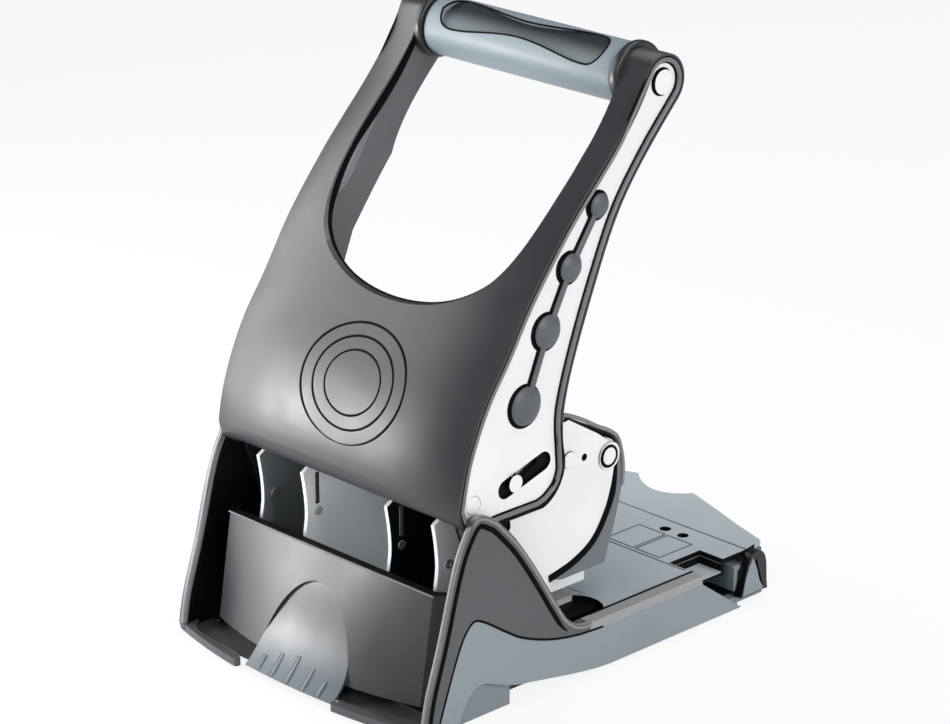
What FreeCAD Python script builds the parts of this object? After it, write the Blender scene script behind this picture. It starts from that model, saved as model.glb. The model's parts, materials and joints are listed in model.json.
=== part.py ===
# Two-hole lever punch for the desk, built as one parametric assembly.
# Millimetres. +X is to the operator's right, +Y runs from the chip drawer to the paper table,
# +Z is up. The origin is on the desk, under the middle of the machine.
import FreeCAD, Part
import Sketcher
import math
import os

os.makedirs("parts", exist_ok=True)
doc = FreeCAD.newDocument("lever_punch")
V = FreeCAD.Vector

# ---------------------------------------------------------------- driving dimensions
SIZES = {
    # whole machine
    "base_width": 155.0, "base_length": 234.0, "table_level": 24.0,
    # holes and paper
    "hole_pitch": 80.0, "paper_margin": 12.0, "hole_line_y": -10.0, "throat": 7.0,
    "punch_radius": 3.0, "punch_fit": 0.05, "die_ring_radius": 6.5,
    # lever, press arms and their pins, seen from the side
    "lever_pivot_y": -77.1, "lever_pivot_z": 94.2, "arm_pivot_y": 8.4, "arm_pivot_z": 90.4,
    "drive_pin_y": -54.3, "drive_pin_z": 97.7, "lever_swing": 48.0, "arm_ratio": 0.4,
    "press_bar_y": -15.6, "press_bar_radius": 4.0, "grip_y": 30.3, "grip_z": 250.0,
    "grip_radius": 13.0, "grip_axle_radius": 4.0, "grip_cap_width": 4.0,
    "lever_arm_width": 13.8,
    # pins
    "pivot_radius": 4.0, "drive_pin_radius": 2.2, "drive_clearance": 0.5, "pin_fit": 0.05,
    "pin_head_radius": 3.8, "pin_head": 1.2,
    # sheet and wall thicknesses
    "fin_wall": 3.0, "shell_wall": 2.5, "floor_sheet": 1.5, "table_plate": 2.5,
    "lever_plate": 1.6, "lever_wall": 2.4, "panel_wall": 3.0, "head_plate": 2.0,
    "arm_plate": 2.0, "bracket_sheet": 2.0, "bracket_width": 30.0, "bed_sheet": 3.5,
    "drawer_wall": 2.0, "cover_wall": 2.0,
    # clearances
    "side_gap": 0.5, "slide_gap": 0.5, "head_gap": 2.3, "arm_gap": 0.7,
    # feet, fasteners and rims
    "foot_height": 2.5, "foot_radius": 8.0, "screw_radius": 1.6, "skirt_gap": 1.2,
    "rim_width": 6.1, "rim_depth": 4.1,
    # drawer; its front fills the frame between the side walls
    "frame_border": 3.5, "drawer_half": "=base_width / 2 - fin_wall - frame_border - side_gap",
    "drawer_front_wall": 4.0, "bin_depth": 97.0,
    # paper guide
    "guide_depth": 14.0, "guide_height": 12.0, "guide_reach": 96.0,
}

sheet = doc.addObject("Spreadsheet::Sheet", "dims")
for row, (alias, value) in enumerate(SIZES.items(), start=1):
    sheet.set(f"A{row}", alias)
    sheet.set(f"B{row}", str(value))
    sheet.setAlias(f"B{row}", alias)
doc.recompute()


def size(alias):
    return float(sheet.get(alias))


# ---------------------------------------------------------------- layers across the machine
HALF = size("base_width") / 2
FRONT = -size("base_length") / 2
REAR = size("base_length") / 2
TABLE = size("table_level")
FIN_IN = HALF - size("fin_wall")
PIN_HEAD_OUT = FIN_IN - size("side_gap")
PLATE_OUT = PIN_HEAD_OUT - size("pin_head") - 0.3
PLATE_IN = PLATE_OUT - size("lever_plate")
LEVER_IN = PLATE_IN - size("lever_wall")
TRIM_OUT = FIN_IN - 0.7
WINDOW_HALF = TRIM_OUT - size("lever_arm_width")
GRIP_HALF = WINDOW_HALF - size("grip_cap_width")
HEAD_OUT = LEVER_IN - size("head_gap")
HEAD_IN = HEAD_OUT - size("head_plate")
ARM_OUT = HEAD_IN - size("arm_gap")
ARM_IN = ARM_OUT - size("arm_plate")
BED_TOP = TABLE - size("table_plate")
BED_LOW = BED_TOP - size("bed_sheet")
FLOOR_LOW = size("foot_height")
FLOOR_TOP = FLOOR_LOW + size("floor_sheet")
SHELL_LOW = size("skirt_gap")
HOLE_Y = size("hole_line_y")
STOP_Y = HOLE_Y - size("paper_margin")
HOLE_X = size("hole_pitch") / 2
GUIDE_LOW = TABLE + size("throat")
RECESS_FRONT = REAR - 60.0
GUIDE_BACK = REAR - 33.0
RECESS_X = HALF - 20.0
GUIDE_END = HALF - 5.5
DIE_HALF = HOLE_X + 12.0
GRIP = (size("grip_y"), size("grip_z"))
LEVER_PIVOT = (size("lever_pivot_y"), size("lever_pivot_z"))
ARM_PIVOT = (size("arm_pivot_y"), size("arm_pivot_z"))
DRIVE_PIN = (size("drive_pin_y"), size("drive_pin_z"))
ARM_SWING = size("lever_swing") * size("arm_ratio")
PRESS_REACH = ARM_PIVOT[0] - size("press_bar_y")
STROKE = PRESS_REACH * math.sin(math.radians(ARM_SWING))
PLANES = {"YZ": "YZ_Plane", "XZ": "XZ_Plane", "XY": "XY_Plane"}


# ---------------------------------------------------------------- flat geometry helpers
def turn(point, centre, degrees):
    """Turns a point of the side view about +X round a centre."""
    c, s = math.cos(math.radians(degrees)), math.sin(math.radians(degrees))
    y, z = point[0] - centre[0], point[1] - centre[1]
    return (centre[0] + y * c - z * s, centre[1] + y * s + z * c)


def shift(points, distance):
    """Offsets an open chain of points to its left by a distance."""
    moved = []
    for i, (a, b) in enumerate(points):
        before, after = points[max(i - 1, 0)], points[min(i + 1, len(points) - 1)]
        dx, dy = after[0] - before[0], after[1] - before[1]
        length = math.hypot(dx, dy)
        moved.append((a - dy / length * distance, b + dx / length * distance))
    return moved


def on_circle(centre, radius, degrees):
    angle = math.radians(degrees)
    return (centre[0] + radius * math.cos(angle), centre[1] + radius * math.sin(angle))


def box_points(u0, v0, u1, v1):
    return [("line", [(u0, v0), (u1, v0), (u1, v1), (u0, v1), (u0, v0)])]


def draw(sketch, chain):
    """Adds a closed chain of straight and curved runs; each run starts where the last ended."""
    for kind, points in chain:
        flat = [V(p[0], p[1], 0) for p in points]
        if kind == "curve":
            curve = Part.BSplineCurve()
            curve.interpolate(flat)
            sketch.addGeometry(curve, False)
        elif kind == "arc":
            sketch.addGeometry(Part.Arc(*flat), False)
        else:
            for a, b in zip(flat, flat[1:]):
                sketch.addGeometry(Part.LineSegment(a, b), False)


def wire(chain, place):
    """The same chain as a wire in space; place turns a flat point into a vector."""
    edges = []
    for kind, points in chain:
        flat = [place(*p) for p in points]
        if kind == "curve":
            curve = Part.BSplineCurve()
            curve.interpolate(flat)
            edges.append(curve.toShape())
        elif kind == "arc":
            edges.append(Part.Arc(*flat).toShape())
        else:
            edges += [Part.LineSegment(a, b).toShape() for a, b in zip(flat, flat[1:])]
    return Part.Wire(edges)


# ---------------------------------------------------------------- part design helpers
def new_body(label):
    body = doc.addObject("PartDesign::Body", label)
    body.Label = label
    return body


def new_sketch(body, name, plane, offset):
    """A sketch on one of the body's own origin planes, moved along its normal."""
    sketch = body.newObject("Sketcher::SketchObject", name)
    support = [f for f in body.Origin.OriginFeatures if f.Role == PLANES[plane]][0]
    sketch.AttachmentSupport = (support, [""])
    sketch.MapMode = "FlatFace"
    sketch.setExpression("AttachmentOffset.Base.z", str(offset))
    return sketch


def circle(sketch, centre, alias, extra):
    """A circle held by its radius: a named size and what is added to it."""
    radius = size(alias) + extra
    index = sketch.addGeometry(Part.Circle(V(centre[0], centre[1], 0), V(0, 0, 1), radius), False)
    constraint = sketch.addConstraint(Sketcher.Constraint("Radius", index, radius))
    sketch.setExpression(f"Constraints[{constraint}]", f"dims.{alias} + {extra}")


def pad(body, name, plane, chain, offset, length, circles=(), middle=False):
    sketch = new_sketch(body, name + "_sketch", plane, offset)
    draw(sketch, chain)
    for centre, alias, extra in circles:
        circle(sketch, centre, alias, extra)
    feature = body.newObject("PartDesign::Pad", name)
    feature.Profile = sketch
    feature.setExpression("Length", str(length))
    feature.Midplane = middle
    doc.recompute()
    return feature


def pocket(body, name, plane, chain, offset, length, circles=(), middle=False):
    """Cuts from offset against the plane's normal, or both ways when middle is set."""
    before = body.Shape.Volume
    sketch = new_sketch(body, name + "_sketch", plane, offset)
    draw(sketch, chain)
    for centre, alias, extra in circles:
        circle(sketch, centre, alias, extra)
    feature = body.newObject("PartDesign::Pocket", name)
    feature.Profile = sketch
    feature.setExpression("Length", str(length))
    feature.Midplane = middle
    doc.recompute()
    if body.Shape.Volume > before - 0.01:
        raise RuntimeError(f"{name} in {body.Label} cuts nothing")
    return feature


def outward(side, near, thickness):
    """Offset of a YZ sketch whose pad must fill from near to near+thickness on one side."""
    return f"{near}" if side > 0 else f"-({near}) - ({thickness})"


def solid(label, shape, at=(0, 0, 0)):
    """A free-form sub-part."""
    feature = doc.addObject("Part::Feature", label)
    feature.Label = label
    feature.Shape = shape
    feature.Placement = FreeCAD.Placement(V(*at), FreeCAD.Rotation())
    return feature


def slab(chain, x0, x1):
    """A solid with an outline in the side view, from x0 to x1."""
    face = Part.Face(wire(chain, lambda y, z: V(x0, y, z)))
    return face.extrude(V(x1 - x0, 0, 0))


def plan(chain, z0, z1):
    """A solid with an outline seen from above, from z0 to z1."""
    face = Part.Face(wire(chain, lambda x, y: V(x, y, z0)))
    return face.extrude(V(0, 0, z1 - z0))


def block(x0, y0, z0, x1, y1, z1):
    return Part.makeBox(x1 - x0, y1 - y0, z1 - z0, V(x0, y0, z0))


def rod(x0, x1, centre, radius):
    return Part.makeCylinder(radius, x1 - x0, V(x0, centre[0], centre[1]), V(1, 0, 0))


def post(x, y, z0, z1, radius):
    return Part.makeCylinder(radius, z1 - z0, V(x, y, z0), V(0, 0, 1))


def pair(maker):
    """Left and right copies of a sub-part."""
    maker("left", -1)
    maker("right", 1)


# ---------------------------------------------------------------- outlines in the side view
FIN_FRONT = [(FRONT + 7.7, 4.8), (FRONT + 10.4, 18.7), (FRONT + 17.8, 42.0), (-90.5, 72.9),
             (-84.1, 86.4)]
FIN_TOP = [(-84.1, 86.4), (-80.5, 90.6), (-76.0, 90.6), (-71.0, 88.0)]
FIN_REAR = [(-71.0, 88.0), (-66.4, 84.5), (-54.9, 71.8), (-43.2, 54.9), (-33.0, 38.6),
            (-26.3, 29.2), (-19.0, TABLE + 0.6), (-12.0, TABLE)]
BORDER = [(FRONT + 16.0, 7.0), (FRONT + 21.2, 21.2), (FRONT + 25.8, 33.0),
          (FRONT + 30.3, 41.7), (FRONT + 35.5, 46.0), (FRONT + 42.0, 43.6), (-63.1, 35.7),
          (-53.7, 30.1), (-38.8, 24.5), (-22.4, 21.1), (-5.6, TABLE - size("rim_depth"))]
ARCH = [(-1.1, SHELL_LOW), (-47.6, 8.1), (-65.2, 12.4), (FRONT + 37.4, 16.2),
        (FRONT + 31.0, 11.0), (FRONT + 27.0, SHELL_LOW)]
LEVER_FRONT = [(-87.0, 94.0), (-83.3, 111.0), (-77.9, 125.0), (-70.5, 139.0), (-60.6, 153.0),
               (-48.2, 172.6), (-32.4, 193.0), (-21.0, 206.0), (4.0, 232.0)]
LEVER_REAR = [(24.0, 226.0), (5.4, 202.4), (-7.6, 176.0), (-18.4, 149.6), (-25.0, 129.7),
              (-27.0, 118.5), (-26.2, 104.0)]


def lever_outline(inset):
    """The lever's side outline, pulled in all round by inset."""
    front = shift(LEVER_FRONT, -inset)
    rear = shift(LEVER_REAR, -inset)
    end = size("grip_radius") - 1.0 - inset
    tip = on_circle(GRIP, end, 135)
    crown = on_circle(GRIP, end, 60)
    heel = on_circle(GRIP, end, -45)
    low = 82.4 + inset
    return [
        ("curve", front + [tip]),
        ("arc", [tip, crown, heel]),
        ("curve", [heel] + rear),
        ("curve", [rear[-1], (-26.0 - inset, 96.0), (-29.5 - inset, 88.5 + inset * 0.6),
                   (-38.2, low)]),
        ("line", [(-38.2, low), (-74.0, low)]),
        ("curve", [(-74.0, low), (-83.5 + inset * 0.8, low + 3.0), front[0]]),
    ]


def drive_pin_path():
    """Where the press arm's pin runs in the lever, with a free tail past its last place."""
    steps = 8
    path = []
    for i in range(-1, steps + 1):
        angle = size("lever_swing") * i / steps
        world = turn(DRIVE_PIN, ARM_PIVOT, angle * size("arm_ratio"))
        path.append(turn(world, LEVER_PIVOT, angle))
    return path


def slot_chain(path, half):
    """A closed slot of constant width round a path."""
    left, right = shift(path, half), shift(path, -half)
    first, last = path[0], path[-1]
    heading0 = math.atan2(path[1][1] - first[1], path[1][0] - first[0])
    heading1 = math.atan2(last[1] - path[-2][1], last[0] - path[-2][0])
    start = (first[0] - half * math.cos(heading0), first[1] - half * math.sin(heading0))
    end = (last[0] + half * math.cos(heading1), last[1] + half * math.sin(heading1))
    return [("curve", right), ("arc", [right[-1], end, left[-1]]),
            ("curve", left[::-1]), ("arc", [left[0], start, right[0]])]


def head_top_when_pressed():
    """How high the head's rear corner stands in the lever once the lever is down."""
    corners = [(2.0, 102.0), (14.4, 92.0), (19.3, 89.0)]
    return max(turn(c, LEVER_PIVOT, size("lever_swing"))[1] for c in corners)


ROOM_TOP = head_top_when_pressed() + 1.5
PIN_PATH = drive_pin_path()
SLOT_TAIL = (PIN_PATH[-1][0] + 6.0, PIN_PATH[-1][1] + 3.2)
LEVER_SLOT = slot_chain([PIN_PATH[i] for i in (1, 3, 5, 7, 9)] + [SLOT_TAIL],
                        size("drive_pin_radius") + size("drive_clearance"))
PLATE_SLOT_RUN = [(DRIVE_PIN[0] + along, DRIVE_PIN[1] - 0.3 + along * 0.29)
                  for along in (-4.6, 6.3, 17.2)]
PLATE_SLOT = slot_chain(PLATE_SLOT_RUN, size("pin_head_radius") + 0.3)
WINDOW_PATH = [turn(DRIVE_PIN, ARM_PIVOT, ARM_SWING * i / 4 - 1.0) for i in range(5)]
WINDOW_PATH.append(turn(DRIVE_PIN, ARM_PIVOT, ARM_SWING + 1.0))
HEAD_WINDOW = slot_chain(WINDOW_PATH, size("drive_pin_radius") + 1.0)


# ---------------------------------------------------------------- base: floor, feet, bed
FOOT_X = HALF - 24.0
FOOT_Y = (FRONT + 38.0, REAR - 34.0)
BRACKET_NEAR = HOLE_X - size("bracket_width") / 2
BRACKET_FAR = HOLE_X + size("bracket_width") / 2
SCREW_Y = (-62.0, -34.0)
BRACKET_FRONT = [(-82.4, 81.5), (-81.0, 73.5), (-80.2, 66.0), (-80.3, 59.0), (-81.4, 52.0),
                 (-81.0, 42.0), (-77.0, BED_TOP)]
BRACKET_TOP = size("arm_pivot_z") - 26.0
GUIDE_SLOT_Y = -74.4
CHEEK_RIVET = (GUIDE_SLOT_Y, 62.5)
BAR_Z = size("arm_pivot_z") - 0.1
BRIDGE_TOP = BAR_Z - size("press_bar_radius") - 0.3
BRIDGE_LOW = BRIDGE_TOP - 6.0


def base_plate():
    body = new_body("base_plate")
    half = HALF - 9.5
    feet = [((x, y), "screw_radius", 0.0) for x in (-FOOT_X, FOOT_X) for y in FOOT_Y]
    pad(body, "floor", "XY", box_points(-half, FRONT + 22.0, half, REAR - 20.0),
        "dims.foot_height", "dims.floor_sheet", feet)


def rubber_feet():
    feet = []
    for x in (-FOOT_X, FOOT_X):
        for y in FOOT_Y:
            disc = post(x, y, 0, FLOOR_LOW, size("foot_radius"))
            feet.append(disc.fuse(post(x, y, FLOOR_LOW, FLOOR_TOP, size("screw_radius"))))
    solid("rubber_feet", Part.makeCompound(feet))


def die_bed():
    body = new_body("die_bed")
    holes = [((side * HOLE_X, HOLE_Y), "punch_radius", 1.0) for side in (-1, 1)]
    holes += [((side * HOLE_X, y), "screw_radius", 0.0) for side in (-1, 1) for y in SCREW_Y]
    pad(body, "bed", "XY", box_points(-HEAD_IN, STOP_Y - 58.0, HEAD_IN, HOLE_Y + 28.0),
        BED_LOW, "dims.bed_sheet", holes)


def die_plate():
    body = new_body("die_plate")
    holes = [((side * HOLE_X, HOLE_Y), "die_ring_radius", 0.0) for side in (-1, 1)]
    pad(body, "plate", "XY", box_points(-DIE_HALF, STOP_Y, DIE_HALF, HOLE_Y + 16.0),
        BED_TOP, "dims.table_plate", holes)


def die_ring(name, side):
    ring = post(side * HOLE_X, HOLE_Y, BED_TOP, TABLE, size("die_ring_radius"))
    bore = post(side * HOLE_X, HOLE_Y, BED_TOP, TABLE, size("punch_radius") + size("punch_fit"))
    solid(f"die_ring_{name}", ring.cut(bore))


def punch_bracket(name, side):
    """A channel of bent sheet: two cheeks, a foot, a paper stop and two guide webs."""
    body = new_body(f"punch_bracket_{name}")
    near, far = sorted((side * BRACKET_NEAR, side * BRACKET_FAR))
    sheet_size = size("bracket_sheet")
    bore = [((side * HOLE_X, HOLE_Y), "punch_radius", size("punch_fit"))]
    screws = [((side * HOLE_X, y), "screw_radius", 0.0) for y in SCREW_Y]
    foot = box_points(near + 0.5, -72.0, far - 0.5, STOP_Y - 1.0)
    pad(body, "foot", "XY", foot, BED_TOP, "dims.bracket_sheet", screws)
    throat = GUIDE_LOW
    cheek = [("curve", BRACKET_FRONT),
             ("line", [BRACKET_FRONT[-1], (STOP_Y, BED_TOP), (STOP_Y, throat),
                       (HOLE_Y + 16.0, throat), (HOLE_Y + 16.0, BRACKET_TOP),
                       (HOLE_Y - 18.0, BRACKET_TOP), (-46.0, 84.0), (-78.0, 84.0),
                       BRACKET_FRONT[0]])]
    rivet_hole = [(CHEEK_RIVET, "screw_radius", 0.0)]
    pad(body, "near_cheek", "YZ", cheek, near, "dims.bracket_sheet", rivet_hole)
    pad(body, "far_cheek", "YZ", cheek, far - sheet_size, "dims.bracket_sheet", rivet_hole)
    web = box_points(near + 0.5, STOP_Y, far - 0.5, HOLE_Y + 14.0)
    pad(body, "low_web", "XY", web, throat, "dims.bracket_sheet", bore)
    pad(body, "top_web", "XY", web, BRACKET_TOP - sheet_size, "dims.bracket_sheet", bore)
    stop = box_points(near + 0.5, BED_TOP, far - 0.5, throat + sheet_size)
    pad(body, "paper_stop", "XZ", stop, -STOP_Y, "dims.bracket_sheet")
    slot = box_points(GUIDE_SLOT_Y - 1.1, CHEEK_RIVET[1] + 3.2, GUIDE_SLOT_Y + 1.1, 80.0)
    inner_cheek = max(side * BRACKET_NEAR, side * (BRACKET_NEAR + sheet_size))
    pocket(body, "slot", "YZ", slot, inner_cheek + 0.5, "dims.bracket_sheet + 1")


def cheek_rivets():
    """A short rivet in each cheek; those of the outer cheeks have hollow tails."""
    rivets = []
    radius, sheet_size = size("screw_radius"), size("bracket_sheet")
    for side in (-1, 1):
        for x0 in (BRACKET_NEAR, BRACKET_FAR - sheet_size):
            x1 = x0 + sheet_size
            shank = rod(*sorted((side * x0, side * x1)), CHEEK_RIVET, radius)
            head = rod(*sorted((side * (x0 - 0.8), side * x0)), CHEEK_RIVET, radius + 0.5)
            tail = rod(*sorted((side * x1, side * (x1 + 0.5))), CHEEK_RIVET, radius + 0.5)
            rivet = shank.multiFuse([head, tail])
            if x0 > BRACKET_NEAR:
                bore = rod(*sorted((side * (x1 - 1.5), side * (x1 + 0.5))), CHEEK_RIVET,
                           radius - 0.5)
                rivet = rivet.cut(bore)
            rivets.append(rivet)
    solid("cheek_rivets", Part.makeCompound(rivets))


def bracket_screws():
    screws = []
    for side in (-1, 1):
        for y in SCREW_Y:
            seat = BED_TOP + size("bracket_sheet")
            shank = post(side * HOLE_X, y, BED_LOW, seat, size("screw_radius"))
            cap = post(side * HOLE_X, y, seat, seat + 2.2, size("screw_radius") + 1.6)
            screws.append(shank.fuse(cap))
    solid("bracket_screws", Part.makeCompound(screws))


def punch_guide(name, side):
    near, far = sorted((side * (BRACKET_NEAR + size("bracket_sheet")),
                        side * (BRACKET_FAR - size("bracket_sheet"))))
    low = GUIDE_LOW + size("bracket_sheet")
    guide = block(near, HOLE_Y - 9.0, low, far, HOLE_Y + 9.0, low + 12.0)
    bore = post(side * HOLE_X, HOLE_Y, low, low + 12.0, size("punch_radius") + size("punch_fit"))
    solid(f"punch_guide_{name}", guide.cut(bore))


def punch_spring(name, side):
    low, turns, coil_wire = BRACKET_TOP, 5, 0.7
    height = BRIDGE_LOW - low
    radius = size("punch_radius") + 1.8
    helix = Part.makeHelix((height - 2 * coil_wire) / turns, height - 2 * coil_wire, radius)
    profile = Part.Wire([Part.makeCircle(coil_wire, V(radius, 0, 0), V(0, 1, 0))])
    coil = Part.Wire(helix.Edges).makePipeShell([profile], True, True)
    solid(f"punch_spring_{name}", coil, (side * HOLE_X, HOLE_Y, low + coil_wire))


# ---------------------------------------------------------------- base: head
HEAD_REAR = [(-26.4, 45.5), (-13.5, 49.0), (-2.0, 55.0), (5.6, 65.0), (11.5, 83.7)]
HEAD_RIVET = (size("press_bar_y"), 95.2)
HEAD_HOLE = (-6.4, 93.8)
HEAD_CROWN = [(14.4, 92.0), (2.0, 102.0), (-16.0, 113.0), (-30.0, 112.0)]


def head_plate(name, side):
    body = new_body(f"head_plate_{name}")
    boss = size("pivot_radius") + 2.2
    chain = [
        ("arc", [on_circle(LEVER_PIVOT, boss, 75), on_circle(LEVER_PIVOT, boss, 140),
                 on_circle(LEVER_PIVOT, boss, 215)]),
        ("line", [on_circle(LEVER_PIVOT, boss, 215), (-72.0, 60.0), (-64.0, FLOOR_TOP),
                  (-26.4, FLOOR_TOP), HEAD_REAR[0]]),
        ("curve", HEAD_REAR),
        ("line", [HEAD_REAR[-1]] + HEAD_CROWN + [(-52.0, 105.0),
                                                 on_circle(LEVER_PIVOT, boss, 75)]),
    ]
    holes = [(LEVER_PIVOT, "pivot_radius", 0.0), (ARM_PIVOT, "pivot_radius", 0.0),
             (HEAD_RIVET, "screw_radius", 0.6), (HEAD_HOLE, "screw_radius", 0.0)]
    offset = outward(side, HEAD_IN, size("head_plate"))
    pad(body, "plate", "YZ", chain, offset, "dims.head_plate", holes)
    pocket(body, "pin_window", "YZ", HEAD_WINDOW, f"{offset} + dims.head_plate + 1",
           "dims.head_plate + 2")


def head_rivets():
    rivets = []
    for side in (-1, 1):
        x0, x1 = sorted((side * HEAD_IN, side * HEAD_OUT))
        h0, h1 = sorted((side * HEAD_OUT, side * (HEAD_OUT + 1.0)))
        shank = rod(x0, x1, HEAD_RIVET, size("screw_radius") + 0.6)
        rivets.append(shank.fuse(rod(h0, h1, HEAD_RIVET, size("screw_radius") + 2.2)))
    solid("head_rivets", Part.makeCompound(rivets))


def head_top():
    crown = [(6.0, 98.8)] + HEAD_CROWN[1:] + [(-44.0, 107.7)]
    inner = shift(crown, 1.6)
    chain = [("line", crown + inner[::-1] + [crown[0]])]
    solid("head_top", slab(chain, -HEAD_IN, HEAD_IN))


COVER_BACK = [(16.0, 97.0), (19.3, 89.0), (18.6, 69.0), (11.0, 51.0), (7.4, 41.0)]


def rear_cover():
    outer = COVER_BACK
    inner = shift(outer, -size("cover_wall"))
    sill = [(7.4, 41.0), (-17.5, 41.5)]
    chain = [("curve", outer), ("line", sill + [(-17.5, 43.5), inner[-1]]),
             ("curve", inner[::-1]), ("line", [inner[0], outer[0]])]
    gap = (HEAD_IN + BRACKET_FAR) / 2
    shell = slab(chain, -gap - 3.0, gap + 3.0)
    for side in (-1, 1):
        near, far = sorted((side * (BRACKET_NEAR - 0.3), side * (BRACKET_FAR + 0.3)))
        shell = shell.cut(block(near, -30.0, 40.0, far, HOLE_Y + 16.3, 60.0))
    solid("rear_cover", shell)


def head_skirt():
    wedge = [("curve", [(18.9, 73.0), (21.5, 65.0), (18.5, 53.0), (12.5, 37.0)]),
             ("line", [(12.5, 37.0), (6.6, 37.0), (6.6, 41.0), (14.0, 73.0), (18.9, 73.0)])]
    filled = [("curve", COVER_BACK), ("line", [COVER_BACK[-1], (-17.5, 41.0), (-17.5, 97.0),
                                               COVER_BACK[0]])]
    half = HEAD_IN - 6.0
    solid("head_skirt", slab(wedge, -half, half).cut(slab(filled, -HEAD_IN, HEAD_IN)))


def arm_pivot_pin(name, side):
    x0, x1 = sorted((side * (ARM_IN - 1.5), side * (HEAD_OUT + 0.9)))
    solid(f"arm_pivot_pin_{name}", rod(x0, x1, ARM_PIVOT, size("pivot_radius")))


def arm_pivot_washer(name, side):
    x0, x1 = sorted((side * HEAD_OUT, side * (HEAD_OUT + 0.6)))
    ring = rod(x0, x1, ARM_PIVOT, size("pivot_radius") + 2.2)
    solid(f"arm_pivot_washer_{name}", ring.cut(rod(x0, x1, ARM_PIVOT, size("pivot_radius"))))


def lever_pivot_pin(name, side):
    x0, x1 = sorted((side * (HEAD_IN - 1.5), side * PLATE_OUT))
    collar = sorted((side * HEAD_OUT, side * (LEVER_IN - 0.3)))
    pin = rod(x0, x1, LEVER_PIVOT, size("pivot_radius"))
    solid(f"lever_pivot_pin_{name}", pin.fuse(rod(*collar, LEVER_PIVOT,
                                                  size("pivot_radius") + 1.8)))


# ---------------------------------------------------------------- base: casing
RIM_LOW = TABLE - size("rim_depth")
RIM_IN = HALF - size("rim_width")
LIP_TOP = SHELL_LOW + 3.4
REAR_PLAN = [(5.5 - HALF, REAR - 15.2), (23.5 - HALF, REAR - 10.6), (-35.0, REAR - 5.0),
             (-17.0, REAR),
             (-9.0, REAR - 5.5), (0.0, REAR - 7.5), (9.0, REAR - 5.5), (17.0, REAR),
             (35.0, REAR - 5.0), (HALF - 23.5, REAR - 10.6), (HALF - 5.5, REAR - 15.2)]


def rear_edge(points):
    """The rear plan edge: straight flanks and a rounded finger notch."""
    flank = 4
    return [("line", points[:flank]), ("curve", points[flank - 1:-flank + 1]),
            ("line", points[-flank:])]


def surround():
    parts = []
    for side, rim_end in ((-1, REAR - 18.5), (1, RECESS_FRONT)):
        wall = [("line", [(FRONT + 12.5, SHELL_LOW), (FRONT + 8.6, SHELL_LOW), FIN_FRONT[0]]),
                ("curve", FIN_FRONT), ("curve", FIN_TOP), ("curve", FIN_REAR),
                ("line", [FIN_REAR[-1], (rim_end, TABLE), (rim_end, RIM_LOW), BORDER[-1]]),
                ("curve", BORDER[::-1]), ("line", [BORDER[0], (FRONT + 12.5, SHELL_LOW)])]
        x0, x1 = sorted((side * FIN_IN, side * HALF))
        parts.append(slab(wall, x0, x1))
        rim_start = BORDER[-1][0]
        x0, x1 = sorted((side * RIM_IN, side * HALF))
        parts.append(block(x0, rim_start, RIM_LOW, x1, rim_end, TABLE))
        x0, x1 = sorted((side * RIM_IN, side * FIN_IN))
        parts.append(block(x0, rim_start - 11.4, RIM_LOW, x1, rim_start, TABLE))
        end = 31.0 - side * 1.5
        bend = HALF - 24.5
        lip_front = [(end, FRONT), (bend, FRONT + 3.0), (HALF, FRONT + 8.6)]
        lip_back = [(FIN_IN, FRONT + 18.0), (FIN_IN - 1.8, FRONT + 13.4),
                    (HALF - 9.0, FRONT + 9.8), (bend, FRONT + 6.6), (end, FRONT + 3.4)]
        lip = [("curve", lip_front),
               ("line", [lip_front[-1], (HALF, FRONT + 12.2), (FIN_IN, FRONT + 12.2), lip_back[0]]),
               ("curve", lip_back),
               ("arc", [lip_back[-1], (end - 1.7, FRONT + 1.7), lip_front[0]])]
        lip = [(kind, [(side * x, y) for x, y in run]) for kind, run in lip]
        parts.append(plan(lip, SHELL_LOW, LIP_TOP))
    parts.append(block(-FIN_IN, FRONT + 8.4, SHELL_LOW, FIN_IN, FRONT + 24.0, FLOOR_LOW - 0.2))
    whole = parts[0].multiFuse(parts[1:]).removeSplitter()
    solid("surround", whole)


def lower_shell():
    parts = []
    skin = HALF - size("shell_wall")
    sill = GUIDE_BACK - 1.0
    for side, top_end, low_end in ((-1, REAR - 16.0, REAR - 16.0), (1, RECESS_FRONT, sill)):
        skirt = [("curve", BORDER),
                 ("line", [BORDER[-1], (top_end, RIM_LOW), (low_end, SHELL_LOW), ARCH[0]]),
                 ("curve", ARCH),
                 ("line", [ARCH[-1], (FRONT + 12.7, SHELL_LOW), BORDER[0]])]
        x0, x1 = sorted((side * skin, side * HALF))
        parts.append(slab(skirt, x0, x1))
        x0, x1 = sorted((side * (HALF - 13.0), side * skin))
        parts.append(block(x0, ARCH[0][0], SHELL_LOW, x1, sill, FLOOR_LOW))
    outer = REAR_PLAN
    wall = size("shell_wall")
    inner = [(x * (1 - wall / HALF), y - wall) for x, y in REAR_PLAN]
    band = rear_edge(outer) + [("line", [outer[-1], inner[-1]])]
    band += [(kind, run[::-1]) for kind, run in rear_edge(inner)[::-1]]
    band.append(("line", [inner[0], outer[0]]))
    parts.append(plan(band, SHELL_LOW, BED_TOP + 1.1))
    parts.append(block(-HALF, REAR - 18.5, SHELL_LOW, 8.5 - HALF, REAR - 15.2, RIM_LOW))
    parts.append(block(HALF - 9.3, sill - 3.0, SHELL_LOW, HALF - 4.5, REAR - 15.4, FLOOR_TOP))
    whole = parts[0].multiFuse(parts[1:]).removeSplitter()
    solid("lower_shell", whole)


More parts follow.
